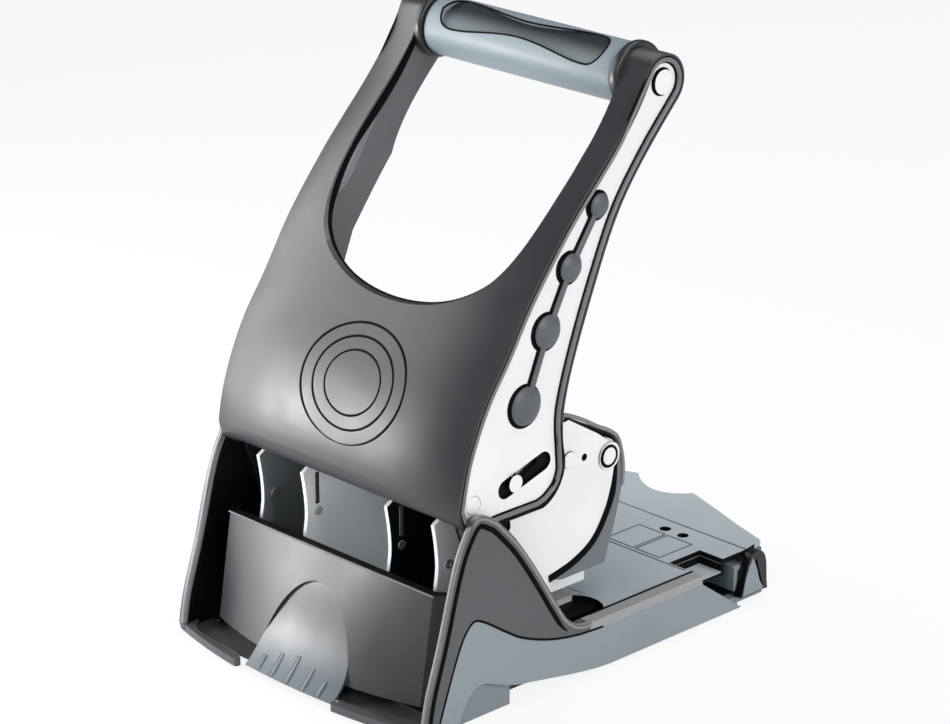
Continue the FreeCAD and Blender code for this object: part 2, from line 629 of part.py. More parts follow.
def paper_table():
    """The deck: flat, then rising to its rear edge, with bites at the front corners."""
    crease, rise = REAR - 25.0, 4.0
    side_view = [("line", [(HOLE_Y + 16.0, BED_TOP), (crease, BED_TOP), (REAR, BED_TOP + rise),
                           (REAR, TABLE + rise), (crease, TABLE), (STOP_Y + 12.0, TABLE),
                           (STOP_Y + 12.0, BED_TOP), (HOLE_Y + 16.0, BED_TOP)])]
    half = RIM_IN - 0.3
    deck = slab(side_view, -half, half)
    opening = DIE_HALF + 0.3
    deck = deck.cut(block(-opening, STOP_Y - 38.0, 0, opening, HOLE_Y + 16.3, 60))
    for side in (-1, 1):
        deck = deck.cut(post(side * (DIE_HALF + 9.5), HOLE_Y + 4.0, 0, 60, 12.0))
    trim = rear_edge(REAR_PLAN)
    beyond = HALF + 12.5
    trim.append(("line", [REAR_PLAN[-1], (beyond, REAR - 15.2), (beyond, REAR + 20.0),
                          (-beyond, REAR + 20.0), (-beyond, REAR - 15.2), REAR_PLAN[0]]))
    deck = deck.cut(plan(trim, 0, 60))
    deck = deck.cut(block(RECESS_X, RECESS_FRONT, 0, beyond, RECESS_FRONT + 20.0, 60))
    for x in (30.4, 41.0):
        deck = deck.cut(post(x, GUIDE_BACK, 0, 60, 2.6))
    solid("paper_table", deck)


def guide_pocket():
    """The floor of the finger recess beside the paper guide."""
    tray = block(RECESS_X - 2.5, RECESS_FRONT - 2.0, BED_TOP - 6.0, HALF - 7.0,
                 RECESS_FRONT + 22.0, BED_TOP)
    cut = block(RECESS_X, RECESS_FRONT, BED_TOP - 4.0, HALF + 2.5, RECESS_FRONT + 20.0,
                BED_TOP + 1.0)
    solid("guide_pocket", tray.cut(cut))


base_plate()
rubber_feet()
die_bed()
die_plate()
pair(die_ring)
pair(punch_bracket)
cheek_rivets()
bracket_screws()
pair(punch_guide)
pair(punch_spring)
pair(head_plate)
head_rivets()
head_top()
rear_cover()
head_skirt()
pair(arm_pivot_pin)
pair(arm_pivot_washer)
pair(lever_pivot_pin)
surround()
lower_shell()
paper_table()
guide_pocket()


# ---------------------------------------------------------------- drawer
BIN_LOW = LIP_TOP + 0.4
FACE_LOW, FACE_TOP = 8.5, 55.8
TONGUE_SKIN = 1.4
TONGUE = [(-27.2, 3.0), (-27.0, 10.0), (-24.5, 20.0), (-19.0, 31.0), (-10.5, 40.0), (0.0, 43.5),
          (10.5, 40.0), (19.0, 31.0), (24.5, 20.0), (27.0, 10.0), (27.2, 3.0)]
TONGUE_PROFILE = [(3.0, FRONT + 0.8, 1.2), (8.5, FRONT + 6.2, 1.8), (16.0, FRONT + 11.6, 1.5),
                  (30.0, FRONT + 18.1, 1.0), (46.0, FRONT + 24.1, 0.4)]


def front_ring(middle, bow, z):
    """The drawer front seen from above: a bowed face whose ends turn back."""
    half, wall = size("drawer_half"), size("drawer_front_wall")
    knee = half - 7.5
    back = middle + bow + 8.5
    face = [(knee * i / 2, middle + bow * i * i / 4) for i in (-2, -1, 0, 1, 2)]
    within = [(x * (knee - 1.6) / knee, y + wall) for x, y in face[::-1]]
    ring = [("line", [(-half, back), face[0]]), ("curve", face),
            ("line", [face[-1], (half, back), (half - wall, back), within[0]]),
            ("curve", within),
            ("line", [within[-1], (wall - half, back), (-half, back)])]
    return wire(ring, lambda x, y: V(x, y, z))


def tongue_body(ahead):
    """The tongue's skin, and what lies in front of it up to a distance."""
    rings = []
    for z, middle, bow in TONGUE_PROFILE:
        outer = [(-30.0, middle + bow - ahead), (0.0, middle - ahead),
                 (30.0, middle + bow - ahead)]
        inner = [(x, y + ahead + TONGUE_SKIN) for x, y in outer[::-1]]
        band = [("arc", outer), ("line", [outer[-1], inner[0]]), ("arc", inner),
                ("line", [inner[-1], outer[0]])]
        rings.append(wire(band, lambda x, y, level=z: V(x, y, level)))
    arch = [("curve", TONGUE), ("line", [TONGUE[-1], TONGUE[0]])]
    mask = Part.Face(wire(arch, lambda x, z: V(x, FRONT - 30.0, z))).extrude(V(0, 90.0, 0))
    return Part.makeLoft(rings, True, False).common(mask)


def drawer_front():
    rings = [front_ring(FRONT + 8.5, 10.0, FACE_LOW), front_ring(FRONT + 26.0, 0.2, FACE_TOP)]
    panel = Part.makeLoft(rings, True, True)
    solid("drawer_front", panel.cut(tongue_body(20.0)))


def drawer_tongue():
    """The pull in the middle of the drawer front: let in at its top, proud at its foot."""
    solid("drawer_tongue", tongue_body(0.0))


def chip_bin():
    wall, top = size("drawer_wall"), BED_LOW - size("slide_gap")
    front = FRONT + 23.0
    rear = front + size("bin_depth")
    half = HEAD_IN - 6.0
    tray = block(-half, front, BIN_LOW, half, rear, top)
    tray = tray.cut(block(-half + wall, front + wall, BIN_LOW + wall, half - wall,
                          rear - wall, top + 1))
    shelf = block(-24.0, FRONT + 9.4, FACE_LOW - wall, 24.0, front, FACE_LOW)
    solid("chip_bin", tray.fuse(shelf).removeSplitter())


# ---------------------------------------------------------------- lever
def flare(body, name, side):
    """Widens the arm's inner wall, behind the panel, down to the mechanism's room."""
    wide, narrow = side * (LEVER_IN + 0.01), side * (WINDOW_HALF - 5.0)
    rim = ROOM_TOP + 40.0
    low, high = (-52.0, ROOM_TOP - 12.0), (-16.0, rim + 10.0)
    sections = []
    for plane, top in ((wide, (-43.0, ROOM_TOP)), (narrow, high)):
        outline = [("line", [low, top, (40.0, top[1]), (40.0, low[1]), low])]
        sketch = new_sketch(body, f"{name}_{len(sections)}", "YZ", plane)
        draw(sketch, outline)
        sections.append(sketch)
    doc.recompute()
    loft = body.newObject("PartDesign::SubtractiveLoft", name)
    loft.Profile = sections[0]
    loft.Sections = [sections[1]]
    loft.Ruled = True
    doc.recompute()


def lever_shell():
    body = new_body("lever_shell")
    pad(body, "casting", "YZ", lever_outline(0.0), -TRIM_OUT, 2 * TRIM_OUT)
    wall = size("panel_wall")
    front = [(-87.5, 70.0)] + LEVER_FRONT
    inner = shift(front, -wall)
    low_cavity = [("curve", inner[:6]), ("line", [inner[5], (-42.0, ROOM_TOP), (30.0, ROOM_TOP),
                                                  (30.0, 60.0), (inner[0][0], 60.0), inner[0]])]
    pocket(body, "mechanism_room", "YZ", low_cavity, LEVER_IN, 2 * LEVER_IN)
    for side, name in ((-1, "left"), (1, "right")):
        flare(body, f"{name}_arm_flare", side)
    upper = inner[4:9]
    high_cavity = [("curve", upper), ("line", [upper[-1], (60.0, upper[-1][1]),
                                              (60.0, upper[0][1]), upper[0]])]
    pocket(body, "panel_back", "YZ", high_cavity, GRIP_HALF, 2 * GRIP_HALF)
    edge = WINDOW_HALF
    window = [("curve", [(-edge, 246.0), (-edge, 200.0), (8.0 - edge, 178.0),
                         (30.0 - edge, 164.0), (0.0, 159.5), (edge - 30.0, 164.0),
                         (edge - 8.0, 178.0), (edge, 200.0), (edge, 246.0)]),
              ("line", [(edge, 246.0), (edge, 290.0), (-edge, 290.0), (-edge, 246.0)])]
    pocket(body, "hand_window", "XZ", window, 200.0, 400.0)
    recess = lever_outline(3.2)
    depth = TRIM_OUT - PLATE_IN
    pocket(body, "right_recess", "YZ", recess, TRIM_OUT, depth)
    pocket(body, "left_recess", "YZ", recess, -TRIM_OUT + depth, depth)
    for side, name in ((-1, "left"), (1, "right")):
        start = TRIM_OUT if side > 0 else 1 - LEVER_IN
        hole = new_sketch(body, f"{name}_holes", "YZ", start)
        circle(hole, LEVER_PIVOT, "pivot_radius", size("pin_fit"))
        draw(hole, LEVER_SLOT)
        cut = body.newObject("PartDesign::Pocket", f"{name}_openings")
        cut.Profile = hole
        cut.setExpression("Length", f"{TRIM_OUT - LEVER_IN + 1}")
        doc.recompute()
    axle = new_sketch(body, "axle_hole", "YZ", HALF)
    circle(axle, GRIP, "grip_axle_radius", 0.0)
    cut = body.newObject("PartDesign::Pocket", "axle_bore")
    cut.Profile = axle
    cut.setExpression("Length", "dims.base_width")
    doc.recompute()


def lever_plate(name, side):
    body = new_body(f"lever_plate_{name}")
    holes = [(LEVER_PIVOT, "pivot_radius", size("pin_fit")), (GRIP, "grip_axle_radius", 0.0)]
    offset = outward(side, PLATE_IN, size("lever_plate"))
    pad(body, "plate", "YZ", lever_outline(3.4), offset, "dims.lever_plate", holes)
    pocket(body, "slot", "YZ", PLATE_SLOT, f"{offset} + dims.lever_plate + 1",
           "dims.lever_plate + 2")


BEADS = [(-6.7, 205.5, 5.7), (-22.9, 182.6, 6.5), (-35.9, 158.4, 7.6), (-48.0, 129.5, 8.7)]


def bead_inlay(name, side):
    x0, x1 = sorted((side * PLATE_OUT, side * (PLATE_OUT + 1.2)))
    beads = [rod(x0, x1, (y, z), r) for y, z, r in BEADS]
    bars = []
    for (y0, z0, r0), (y1, z1, r1) in zip(BEADS, BEADS[1:]):
        length = math.hypot(y1 - y0, z1 - z0)
        ny, nz = -(z1 - z0) / length * 1.6, (y1 - y0) / length * 1.6
        corners = [(y0 + ny, z0 + nz), (y1 + ny, z1 + nz), (y1 - ny, z1 - nz),
                   (y0 - ny, z0 - nz), (y0 + ny, z0 + nz)]
        bars.append(slab([("line", corners)], x0, x1))
    solid(f"bead_inlay_{name}", beads[0].multiFuse(beads[1:] + bars).removeSplitter())


def grip_outline(x0, x1, waist):
    """The inlay's outline, wide at its ends and narrow in the middle."""
    mid = (x0 + x1) / 2
    return [("curve", [(x0, 0.0), (x0 + 7.0, 7.4), (mid, waist), (x1 - 7.0, 7.4), (x1, 0.0)]),
            ("curve", [(x1, 0.0), (x1 - 7.0, -7.4), (mid, -waist), (x0 + 7.0, -7.4),
                       (x0, 0.0)])]


def grip_mask():
    """A prism that stands on the grip's axis and leans to the operator."""
    reach = GRIP_HALF - 12.0
    face = Part.Face(wire(grip_outline(-reach, reach, 4.2), lambda x, y: V(x, y, 0)))
    mask = face.extrude(V(0, 0, 40.0))
    mask.rotate(V(0, 0, 0), V(1, 0, 0), 38.0)
    mask.translate(V(0, GRIP[0], GRIP[1]))
    return mask


def grip_sleeve():
    radius = size("grip_radius")
    sleeve = rod(-GRIP_HALF, GRIP_HALF, GRIP, radius)
    sleeve = sleeve.cut(rod(-GRIP_HALF, GRIP_HALF, GRIP, size("grip_axle_radius")))
    skin = rod(-GRIP_HALF, GRIP_HALF, GRIP, radius + 5).cut(
        rod(-GRIP_HALF, GRIP_HALF, GRIP, radius - 1.4))
    solid("grip_sleeve", sleeve.cut(skin.common(grip_mask())))


def grip_inlay():
    radius = size("grip_radius")
    skin = rod(-GRIP_HALF, GRIP_HALF, GRIP, radius - 0.3).cut(
        rod(-GRIP_HALF, GRIP_HALF, GRIP, radius - 1.4))
    solid("grip_inlay", skin.common(grip_mask()))


def grip_caps():
    caps = []
    for side in (-1, 1):
        x0, x1 = sorted((side * GRIP_HALF, side * WINDOW_HALF))
        cap = rod(x0, x1, GRIP, size("grip_radius") + 1.6)
        caps.append(cap.cut(rod(x0, x1, GRIP, size("grip_axle_radius"))))
    solid("grip_caps", Part.makeCompound(caps))


def grip_axle():
    radius = size("grip_axle_radius")
    axle = rod(-PLATE_OUT, PLATE_OUT, GRIP, radius)
    for side in (-1, 1):
        axle = axle.fuse(rod(*sorted((side * PLATE_OUT, side * (PLATE_OUT + 1.2))), GRIP,
                             radius + 1.4))
    solid("grip_axle", axle)


# ---------------------------------------------------------------- press arms and punches
BAR = (size("press_bar_y"), BAR_Z)


def press_arm(name, side):
    body = new_body(f"press_arm_{name}")
    spine = [DRIVE_PIN, ((DRIVE_PIN[0] + BAR[0]) / 2, (DRIVE_PIN[1] + BAR[1]) / 2 - 1.0), BAR,
             ARM_PIVOT]
    holes = [(DRIVE_PIN, "drive_pin_radius", 0.0), (BAR, "press_bar_radius", 0.0),
             (ARM_PIVOT, "pivot_radius", size("pin_fit"))]
    pad(body, "plate", "YZ", slot_chain(spine, 7.0), outward(side, ARM_IN, size("arm_plate")),
        "dims.arm_plate", holes)


def press_bar():
    solid("press_bar", rod(-ARM_OUT, ARM_OUT, BAR, size("press_bar_radius")))


def drive_pin(name, side):
    radius = size("drive_pin_radius")
    shank = rod(*sorted((side * ARM_IN, side * (PIN_HEAD_OUT - size("pin_head")))), DRIVE_PIN,
                radius)
    disc = rod(*sorted((side * (PIN_HEAD_OUT - size("pin_head")), side * PIN_HEAD_OUT)),
               DRIVE_PIN, size("pin_head_radius"))
    solid(f"drive_pin_{name}", shank.fuse(disc))


def punch_bridge():
    half = BRACKET_FAR - 3.0
    bridge = block(-half, HOLE_Y - 11.0, BRIDGE_LOW, half, HOLE_Y + 8.0, BRIDGE_TOP)
    for side in (-1, 1):
        bridge = bridge.cut(post(side * HOLE_X, HOLE_Y, BRIDGE_LOW, BRIDGE_TOP,
                                 size("punch_radius") - 1.0))
    solid("punch_bridge", bridge)


def punch_pin(name, side):
    radius, tip = size("punch_radius"), GUIDE_LOW + 0.2
    pin = post(side * HOLE_X, HOLE_Y, tip, BRIDGE_LOW, radius)
    neck = post(side * HOLE_X, HOLE_Y, BRIDGE_LOW, BRIDGE_TOP, radius - 1.0)
    notch = [("line", [(HOLE_Y - radius, tip), (HOLE_Y, tip + 1.6), (HOLE_Y + radius, tip),
                       (HOLE_Y + radius, tip - 1), (HOLE_Y - radius, tip - 1),
                       (HOLE_Y - radius, tip)])]
    hollow = slab(notch, side * HOLE_X - radius - 1, side * HOLE_X + radius + 1)
    solid(f"punch_pin_{name}", pin.fuse(neck).cut(hollow))


# ---------------------------------------------------------------- paper guide
def paper_guide():
    low = FLOOR_TOP + 2.0
    bar = block(GUIDE_END - size("guide_reach"), GUIDE_BACK, low, GUIDE_END,
                GUIDE_BACK + size("guide_depth"), low + size("guide_height"))
    solid("paper_guide", bar)


def guide_head():
    """The arched head at the guide's end, with a web across it."""
    arch = [("curve", [(GUIDE_BACK - 0.5, 4.6), (GUIDE_BACK + 3.0, 16.0), (GUIDE_BACK + 9.0, 24.4),
                       (GUIDE_BACK + 13.0, 23.5), (GUIDE_BACK + 16.5, 14.0),
                       (GUIDE_BACK + 17.5, 4.6)]),
            ("line", [(GUIDE_BACK + 17.5, 4.6), (GUIDE_BACK - 0.5, 4.6)])]
    head = slab(arch, GUIDE_END + 0.3, HALF - 1.0)
    mid = [("line", [(GUIDE_BACK + 3.0, 6.0), (GUIDE_BACK + 9.5, 21.0), (GUIDE_BACK + 14.5, 6.0),
                     (GUIDE_BACK + 3.0, 6.0)])]
    head = head.cut(slab(mid, HALF - 3.0, HALF + 2.5))
    neck = block(GUIDE_END, GUIDE_BACK + 2.0, 7.0, GUIDE_END + 0.3, GUIDE_BACK + 12.0, 16.0)
    solid("guide_head", head.fuse(neck))


drawer_front()
drawer_tongue()
chip_bin()
lever_shell()
pair(lever_plate)
pair(bead_inlay)
grip_sleeve()
grip_inlay()
grip_caps()
grip_axle()
pair(press_arm)
press_bar()
pair(drive_pin)
punch_bridge()
pair(punch_pin)
paper_guide()
guide_head()
doc.recompute()


# ---------------------------------------------------------------- checks and export
def sub_parts():
    kinds = ("PartDesign::Body", "Part::Feature")
    return [o for o in doc.Objects if o.TypeId in kinds]


for item in doc.Objects:
    if any(flag in ("Invalid", "Error") for flag in item.State):
        raise RuntimeError(f"{item.Label} failed: {item.State}")
labels = set()
for item in sub_parts():
    if item.Shape.isNull() or not item.Shape.isValid() or item.Label in labels:
        raise RuntimeError(f"{item.Label} has no valid shape or shares its name")
    labels.add(item.Label)
for item in sub_parts():
    item.Shape.exportStep(f"parts/{item.Label}.step")
print(f"{len(labels)} sub-parts, stroke {STROKE:.3f} mm, arm swing {ARM_SWING:.2f} deg")
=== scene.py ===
"""Studio scene of the two-hole lever punch: finishes, rounded pieces and small details."""
import json
import math

import bpy
from mathutils import Matrix, Vector


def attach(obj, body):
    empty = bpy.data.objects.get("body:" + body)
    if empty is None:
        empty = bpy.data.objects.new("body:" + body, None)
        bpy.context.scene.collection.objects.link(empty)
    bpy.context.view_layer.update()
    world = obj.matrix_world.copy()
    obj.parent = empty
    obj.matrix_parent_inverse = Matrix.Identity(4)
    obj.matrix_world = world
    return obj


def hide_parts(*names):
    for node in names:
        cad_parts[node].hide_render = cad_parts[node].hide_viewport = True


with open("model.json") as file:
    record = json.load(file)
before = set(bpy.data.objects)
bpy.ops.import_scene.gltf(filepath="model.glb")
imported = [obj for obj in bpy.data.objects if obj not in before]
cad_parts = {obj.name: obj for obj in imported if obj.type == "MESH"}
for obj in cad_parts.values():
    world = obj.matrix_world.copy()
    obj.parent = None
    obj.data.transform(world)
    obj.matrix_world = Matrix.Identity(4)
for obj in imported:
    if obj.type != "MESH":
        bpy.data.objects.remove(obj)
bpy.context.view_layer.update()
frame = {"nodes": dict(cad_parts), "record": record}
scene = bpy.context.scene
scene.view_settings.view_transform = "Standard"
MM = 0.001
GRIP_LEAN = 38.0
FLOOR_GLOW = 0.86
FLOOR_GLOW_IN_GLOSS = 0.4


# ---------------------------------------------------------------- camera, light and room
def add_camera():
    """A long lens from the front right, a little above."""
    data = bpy.data.cameras.new("camera")
    data.lens = 131.5
    data.sensor_width = 36.0
    camera = bpy.data.objects.new("camera", data)
    camera.location = (0.9967, -0.9788, 0.6294)
    camera.rotation_euler = (math.radians(69.86), 0.0, math.radians(45.68))
    scene.collection.objects.link(camera)
    scene.camera = camera


def add_softbox(name, place, target, width, height, power):
    """A square lamp that looks at a target, in metres and watts."""
    data = bpy.data.lights.new(name, "AREA")
    data.shape = "RECTANGLE"
    data.size = width
    data.size_y = height
    data.energy = power
    lamp = bpy.data.objects.new(name, data)
    lamp.location = place
    aim = Vector(target) - Vector(place)
    lamp.rotation_euler = aim.to_track_quat("-Z", "Y").to_euler()
    scene.collection.objects.link(lamp)


def math_node(nodes, links, operation, value, second=None):
    """A sum on one value, with a plain number or another value beside it."""
    node = nodes.new("ShaderNodeMath")
    node.operation = operation
    links.new(value, node.inputs[0])
    if isinstance(second, float):
        node.inputs[1].default_value = second
    elif second is not None:
        links.new(second, node.inputs[1])
    return node.outputs[0]


def blend(nodes, links, share, low, high):
    """The shader low where share is nothing, and high where it is one."""
    mix = nodes.new("ShaderNodeMixShader")
    links.new(share, mix.inputs["Fac"])
    links.new(low, mix.inputs[1])
    links.new(high, mix.inputs[2])
    return mix.outputs[0]


def seen_directly(nodes, links):
    """One for camera and glass rays, and beside it one for mirror rays."""
    path = nodes.new("ShaderNodeLightPath")
    direct = math_node(nodes, links, "MAXIMUM", path.outputs["Is Camera Ray"],
                       path.outputs["Is Transmission Ray"])
    return direct, path.outputs["Is Glossy Ray"]


def sky(nodes, colour, strength):
    """An even background."""
    shade = nodes.new("ShaderNodeBackground")
    shade.inputs["Color"].default_value = (*colour, 1.0)
    shade.inputs["Strength"].default_value = strength
    return shade.outputs[0]


def build_world():
    """White to the eye, a little dimmer in the object's gloss, and faint as a light."""
    world = bpy.data.worlds.new("room")
    scene.world = world
    world.use_nodes = True
    nodes, links = world.node_tree.nodes, world.node_tree.links
    nodes.clear()
    direct, glossy = seen_directly(nodes, links)
    unseen = blend(nodes, links, glossy, sky(nodes, (0.95, 0.97, 1.0), 0.14),
                   sky(nodes, (0.96, 0.98, 1.0), 0.10))
    room = blend(nodes, links, direct, unseen, sky(nodes, (1.0, 1.0, 1.0), 1.0))
    output = nodes.new("ShaderNodeOutputWorld")
    links.new(room, output.inputs["Surface"])


def add_floor():
    """A pale floor that keeps the shadow and shines white to the eye."""
    deselect()
    bpy.ops.mesh.primitive_plane_add(size=8.0, location=(0.0, 0.0, 0.0))
    floor = bpy.context.object
    floor.name = "studio_floor"
    material = bpy.data.materials.new("floor_white")
    material.use_nodes = True
    nodes, links = material.node_tree.nodes, material.node_tree.links
    nodes.clear()
    matt = nodes.new("ShaderNodeBsdfDiffuse")
    matt.inputs["Color"].default_value = (0.82, 0.83, 0.84, 1.0)
    glow = nodes.new("ShaderNodeEmission")
    glow.inputs["Color"].default_value = (1.0, 1.0, 1.0, 1.0)
    direct, glossy = seen_directly(nodes, links)
    share = math_node(nodes, links, "ADD", math_node(nodes, links, "MULTIPLY", direct, FLOOR_GLOW),
                      math_node(nodes, links, "MULTIPLY", glossy, FLOOR_GLOW_IN_GLOSS))
    output = nodes.new("ShaderNodeOutputMaterial")
    links.new(blend(nodes, links, share, matt.outputs[0], glow.outputs[0]),
              output.inputs["Surface"])
    floor.data.materials.append(material)


# ---------------------------------------------------------------- finishes
def start_material(name, colour, roughness, metallic):
    """A plain finish, with what the next functions build on."""
    material = bpy.data.materials.new(name)
    material.use_nodes = True
    nodes, links = material.node_tree.nodes, material.node_tree.links
    shader = nodes["Principled BSDF"]
    shader.inputs["Base Color"].default_value = (*colour, 1.0)
    shader.inputs["Roughness"].default_value = roughness
    shader.inputs["Metallic"].default_value = metallic
    place = nodes.new("ShaderNodeTexCoord")
    return material, nodes, links, shader, place.outputs["Object"]


def noise(nodes, links, where, scale, detail):
    """A cloudy value over the piece."""
    texture = nodes.new("ShaderNodeTexNoise")
    texture.inputs["Scale"].default_value = scale
    texture.inputs["Detail"].default_value = detail
    links.new(where, texture.inputs["Vector"])
    return texture.outputs["Fac"]


def spread(nodes, links, value, low, high):
    """Maps a noise value to a range."""
    ramp = nodes.new("ShaderNodeMapRange")
    ramp.inputs["From Min"].default_value = 0.3
    ramp.inputs["From Max"].default_value = 0.7
    ramp.inputs["To Min"].default_value = low
    ramp.inputs["To Max"].default_value = high
    links.new(value, ramp.inputs["Value"])
    return ramp.outputs["Result"]


def tint(nodes, links, value, dark, light):
    """Maps a noise value to a drift between two tones."""
    ramp = nodes.new("ShaderNodeValToRGB")
    ramp.color_ramp.elements[0].position = 0.3
    ramp.color_ramp.elements[0].color = (*dark, 1.0)
    ramp.color_ramp.elements[1].position = 0.7
    ramp.color_ramp.elements[1].color = (*light, 1.0)
    links.new(value, ramp.inputs["Fac"])
    return ramp.outputs["Color"]


def bump(nodes, links, shader, height, strength, distance):
    """Fine relief from a noise value."""
    relief = nodes.new("ShaderNodeBump")
    relief.inputs["Strength"].default_value = strength
    relief.inputs["Distance"].default_value = distance
    links.new(height, relief.inputs["Height"])
    links.new(relief.outputs["Normal"], shader.inputs["Normal"])


def moulded(name, colour, roughness, grain):
    """Moulded plastic: a spark-eroded grain, and a faint drift of tone and gloss."""
    material, nodes, links, shader, where = start_material(name, colour, roughness, 0.0)
    drift = noise(nodes, links, where, 14.0, 3.0)
    dark = tuple(c * 0.93 for c in colour)
    light = tuple(min(c * 1.06, 1.0) for c in colour)
    links.new(tint(nodes, links, drift, dark, light), shader.inputs["Base Color"])
    fine = noise(nodes, links, where, 2600.0, 2.0)
    links.new(spread(nodes, links, noise(nodes, links, where, 60.0, 4.0), roughness - 0.03,
                     roughness + 0.04), shader.inputs["Roughness"])
    bump(nodes, links, shader, fine, grain, 0.00008)
    return material


def brushed(name, colour, roughness, stretch, metallic):
    """Rolled or brushed metal: fine lines along one direction."""
    material, nodes, links, shader, where = start_material(name, colour, roughness, metallic)
    turn = nodes.new("ShaderNodeMapping")
    turn.inputs["Scale"].default_value = stretch
    links.new(where, turn.inputs["Vector"])
    lines = noise(nodes, links, turn.outputs["Vector"], 1.0, 3.0)
    dark = tuple(c * 0.95 for c in colour)
    light = tuple(min(c * 1.04, 1.0) for c in colour)
    links.new(tint(nodes, links, noise(nodes, links, where, 20.0, 3.0), dark, light),
              shader.inputs["Base Color"])
    links.new(spread(nodes, links, lines, roughness - 0.05, roughness + 0.06),
              shader.inputs["Roughness"])
    bump(nodes, links, shader, lines, 0.05, 0.00005)
    return material


def plain(colour, roughness, gloss=0.5):
    """The few values of a second finish."""
    return {"Base Color": (*colour, 1.0), "Roughness": roughness, "Specular IOR Level": gloss}


def zoned(name, near, far, tests, beyond=False):
    """Adds a second finish, far, where every test on place (mm) or on facing holds.

    A test is an axis with its low and high limit: x, y, z for the place, sx for the
    distance from the middle plane, nx, ny, nz for how far the surface faces along that
    axis, either way. With beyond set, far is put where a test fails.
    """
    material = near.copy()
    material.name = name
    nodes, links = material.node_tree.nodes, material.node_tree.links
    surface = nodes["Material Output"].inputs["Surface"]
    top = surface.links[0].from_socket
    under = nodes.new("ShaderNodeBsdfPrincipled")
    for socket, value in far.items():
        under.inputs[socket].default_value = value
    place = nodes.new("ShaderNodeSeparateXYZ")
    links.new(nodes.new("ShaderNodeTexCoord").outputs["Object"], place.inputs["Vector"])
    facing = nodes.new("ShaderNodeSeparateXYZ")
    links.new(nodes.new("ShaderNodeNewGeometry").outputs["Normal"], facing.inputs["Vector"])
    held = None
    for axis, low, high in tests:
        unit = 1.0 if axis[0] == "n" else MM
        value = (facing if axis[0] == "n" else place).outputs[axis[-1].upper()]
        if len(axis) == 2:
            value = math_node(nodes, links, "ABSOLUTE", value)
        above = math_node(nodes, links, "GREATER_THAN", value, low * unit)
        below = math_node(nodes, links, "LESS_THAN", value, high * unit)
        both = math_node(nodes, links, "MULTIPLY", above, below)
        held = both if held is None else math_node(nodes, links, "MULTIPLY", held, both)
    pair = (under.outputs[0], top) if beyond else (top, under.outputs[0])
    links.new(blend(nodes, links, held, *pair), surface)
    return material


def leaning(degrees):
    """A direction in the side view, tipped up from level."""
    return 0.0, math.cos(math.radians(degrees)), math.sin(math.radians(degrees))


def faded(name, low, high, along, start, stop, roughness):
    """A moulding whose tone goes from low to high along a direction, from start to stop: painted
    light and shade laid along the piece.
    """
    material = moulded(name, low, roughness, 0.2)
    nodes, links = material.node_tree.nodes, material.node_tree.links
    place = nodes.new("ShaderNodeTexCoord")
    reach = nodes.new("ShaderNodeVectorMath")
    reach.operation = "DOT_PRODUCT"
    reach.inputs[1].default_value = along
    links.new(place.outputs["Object"], reach.inputs[0])
    ramp = nodes.new("ShaderNodeMapRange")
    ramp.interpolation_type = "SMOOTHSTEP"
    ramp.inputs["From Min"].default_value = start * MM
    ramp.inputs["From Max"].default_value = stop * MM
    links.new(reach.outputs["Value"], ramp.inputs["Value"])
    tone = nodes.new("ShaderNodeValToRGB")
    tone.color_ramp.elements[0].color = (*low, 1.0)
    tone.color_ramp.elements[1].color = (*high, 1.0)
    links.new(ramp.outputs["Result"], tone.inputs["Fac"])
    links.new(tone.outputs["Color"], nodes["Principled BSDF"].inputs["Base Color"])
    return material


def crowned(material, rise):
    """Lets the surface fall away to both sides, as a slightly crowned panel does."""
    nodes, links = material.node_tree.nodes, material.node_tree.links
    place = nodes.new("ShaderNodeSeparateXYZ")
    links.new(nodes.new("ShaderNodeTexCoord").outputs["Object"], place.inputs["Vector"])
    height = math_node(nodes, links, "POWER", math_node(nodes, links, "ABSOLUTE",
                                                        place.outputs["X"]), 4.0)
    height = math_node(nodes, links, "MULTIPLY", height, -rise)
    fall = nodes.new("ShaderNodeBump")
    fall.inputs["Strength"].default_value = 1.0
    fall.inputs["Distance"].default_value = 1.0
    links.new(height, fall.inputs["Height"])
    grain = next(n for n in nodes if n.bl_idname == "ShaderNodeBump" and n != fall)
    links.new(fall.outputs["Normal"], grain.inputs["Normal"])
    return material


def deep(name):
    """Almost no light comes back: painted shade, for dark skins laid where shade falls and for the
    beads that stand for the shade in grooves and gaps.
    """
    material = moulded(name, (0.0015, 0.0015, 0.0017), 0.7, 0.05)
    material.node_tree.nodes["Principled BSDF"].inputs["Specular IOR Level"].default_value = 0.08
    return material


DARK = moulded("satin_dark_moulding", (0.040, 0.041, 0.046), 0.36, 0.18)
TRIM = moulded("dark_side_trim", (0.026, 0.027, 0.031), 0.32, 0.18)
RIM = moulded("rim_moulding", (0.21, 0.215, 0.225), 0.36, 0.15)
LIGHT = moulded("blue_grey_moulding", (0.225, 0.265, 0.29), 0.36, 0.2)
DECK = moulded("blue_grey_deck", (0.37, 0.42, 0.45), 0.42, 0.3)
SLEEVE = moulded("blue_grey_grip", (0.23, 0.285, 0.32), 0.42, 0.3)
MID = moulded("mid_grey_moulding", (0.10, 0.112, 0.125), 0.34, 0.2)
BEZEL = moulded("bezel_moulding", (0.15, 0.156, 0.165), 0.36, 0.15)
# Painted highlight: a pale moulding for the rounded lip at the window's lower corner.
LIP = moulded("lip_painted_highlight", (0.17, 0.185, 0.20), 0.34, 0.2)
SKIRT = moulded("skirt_moulding", (0.135, 0.15, 0.165), 0.4, 0.2)
BLACK = moulded("black_moulding", (0.006, 0.006, 0.007), 0.3, 0.15)
DEEP = deep("painted_shade_black")
RUBBER = moulded("grey_rubber", (0.085, 0.095, 0.108), 0.42, 0.35)
FOOT = moulded("foot_rubber", (0.02, 0.02, 0.022), 0.7, 0.4)
PLATE = brushed("satin_white_aluminium", (0.86, 0.87, 0.88), 0.36, (40.0, 900.0, 900.0), 0.3)
STEEL = brushed("zinc_plated_sheet", (0.70, 0.73, 0.75), 0.32, (60.0, 60.0, 1400.0), 0.4)
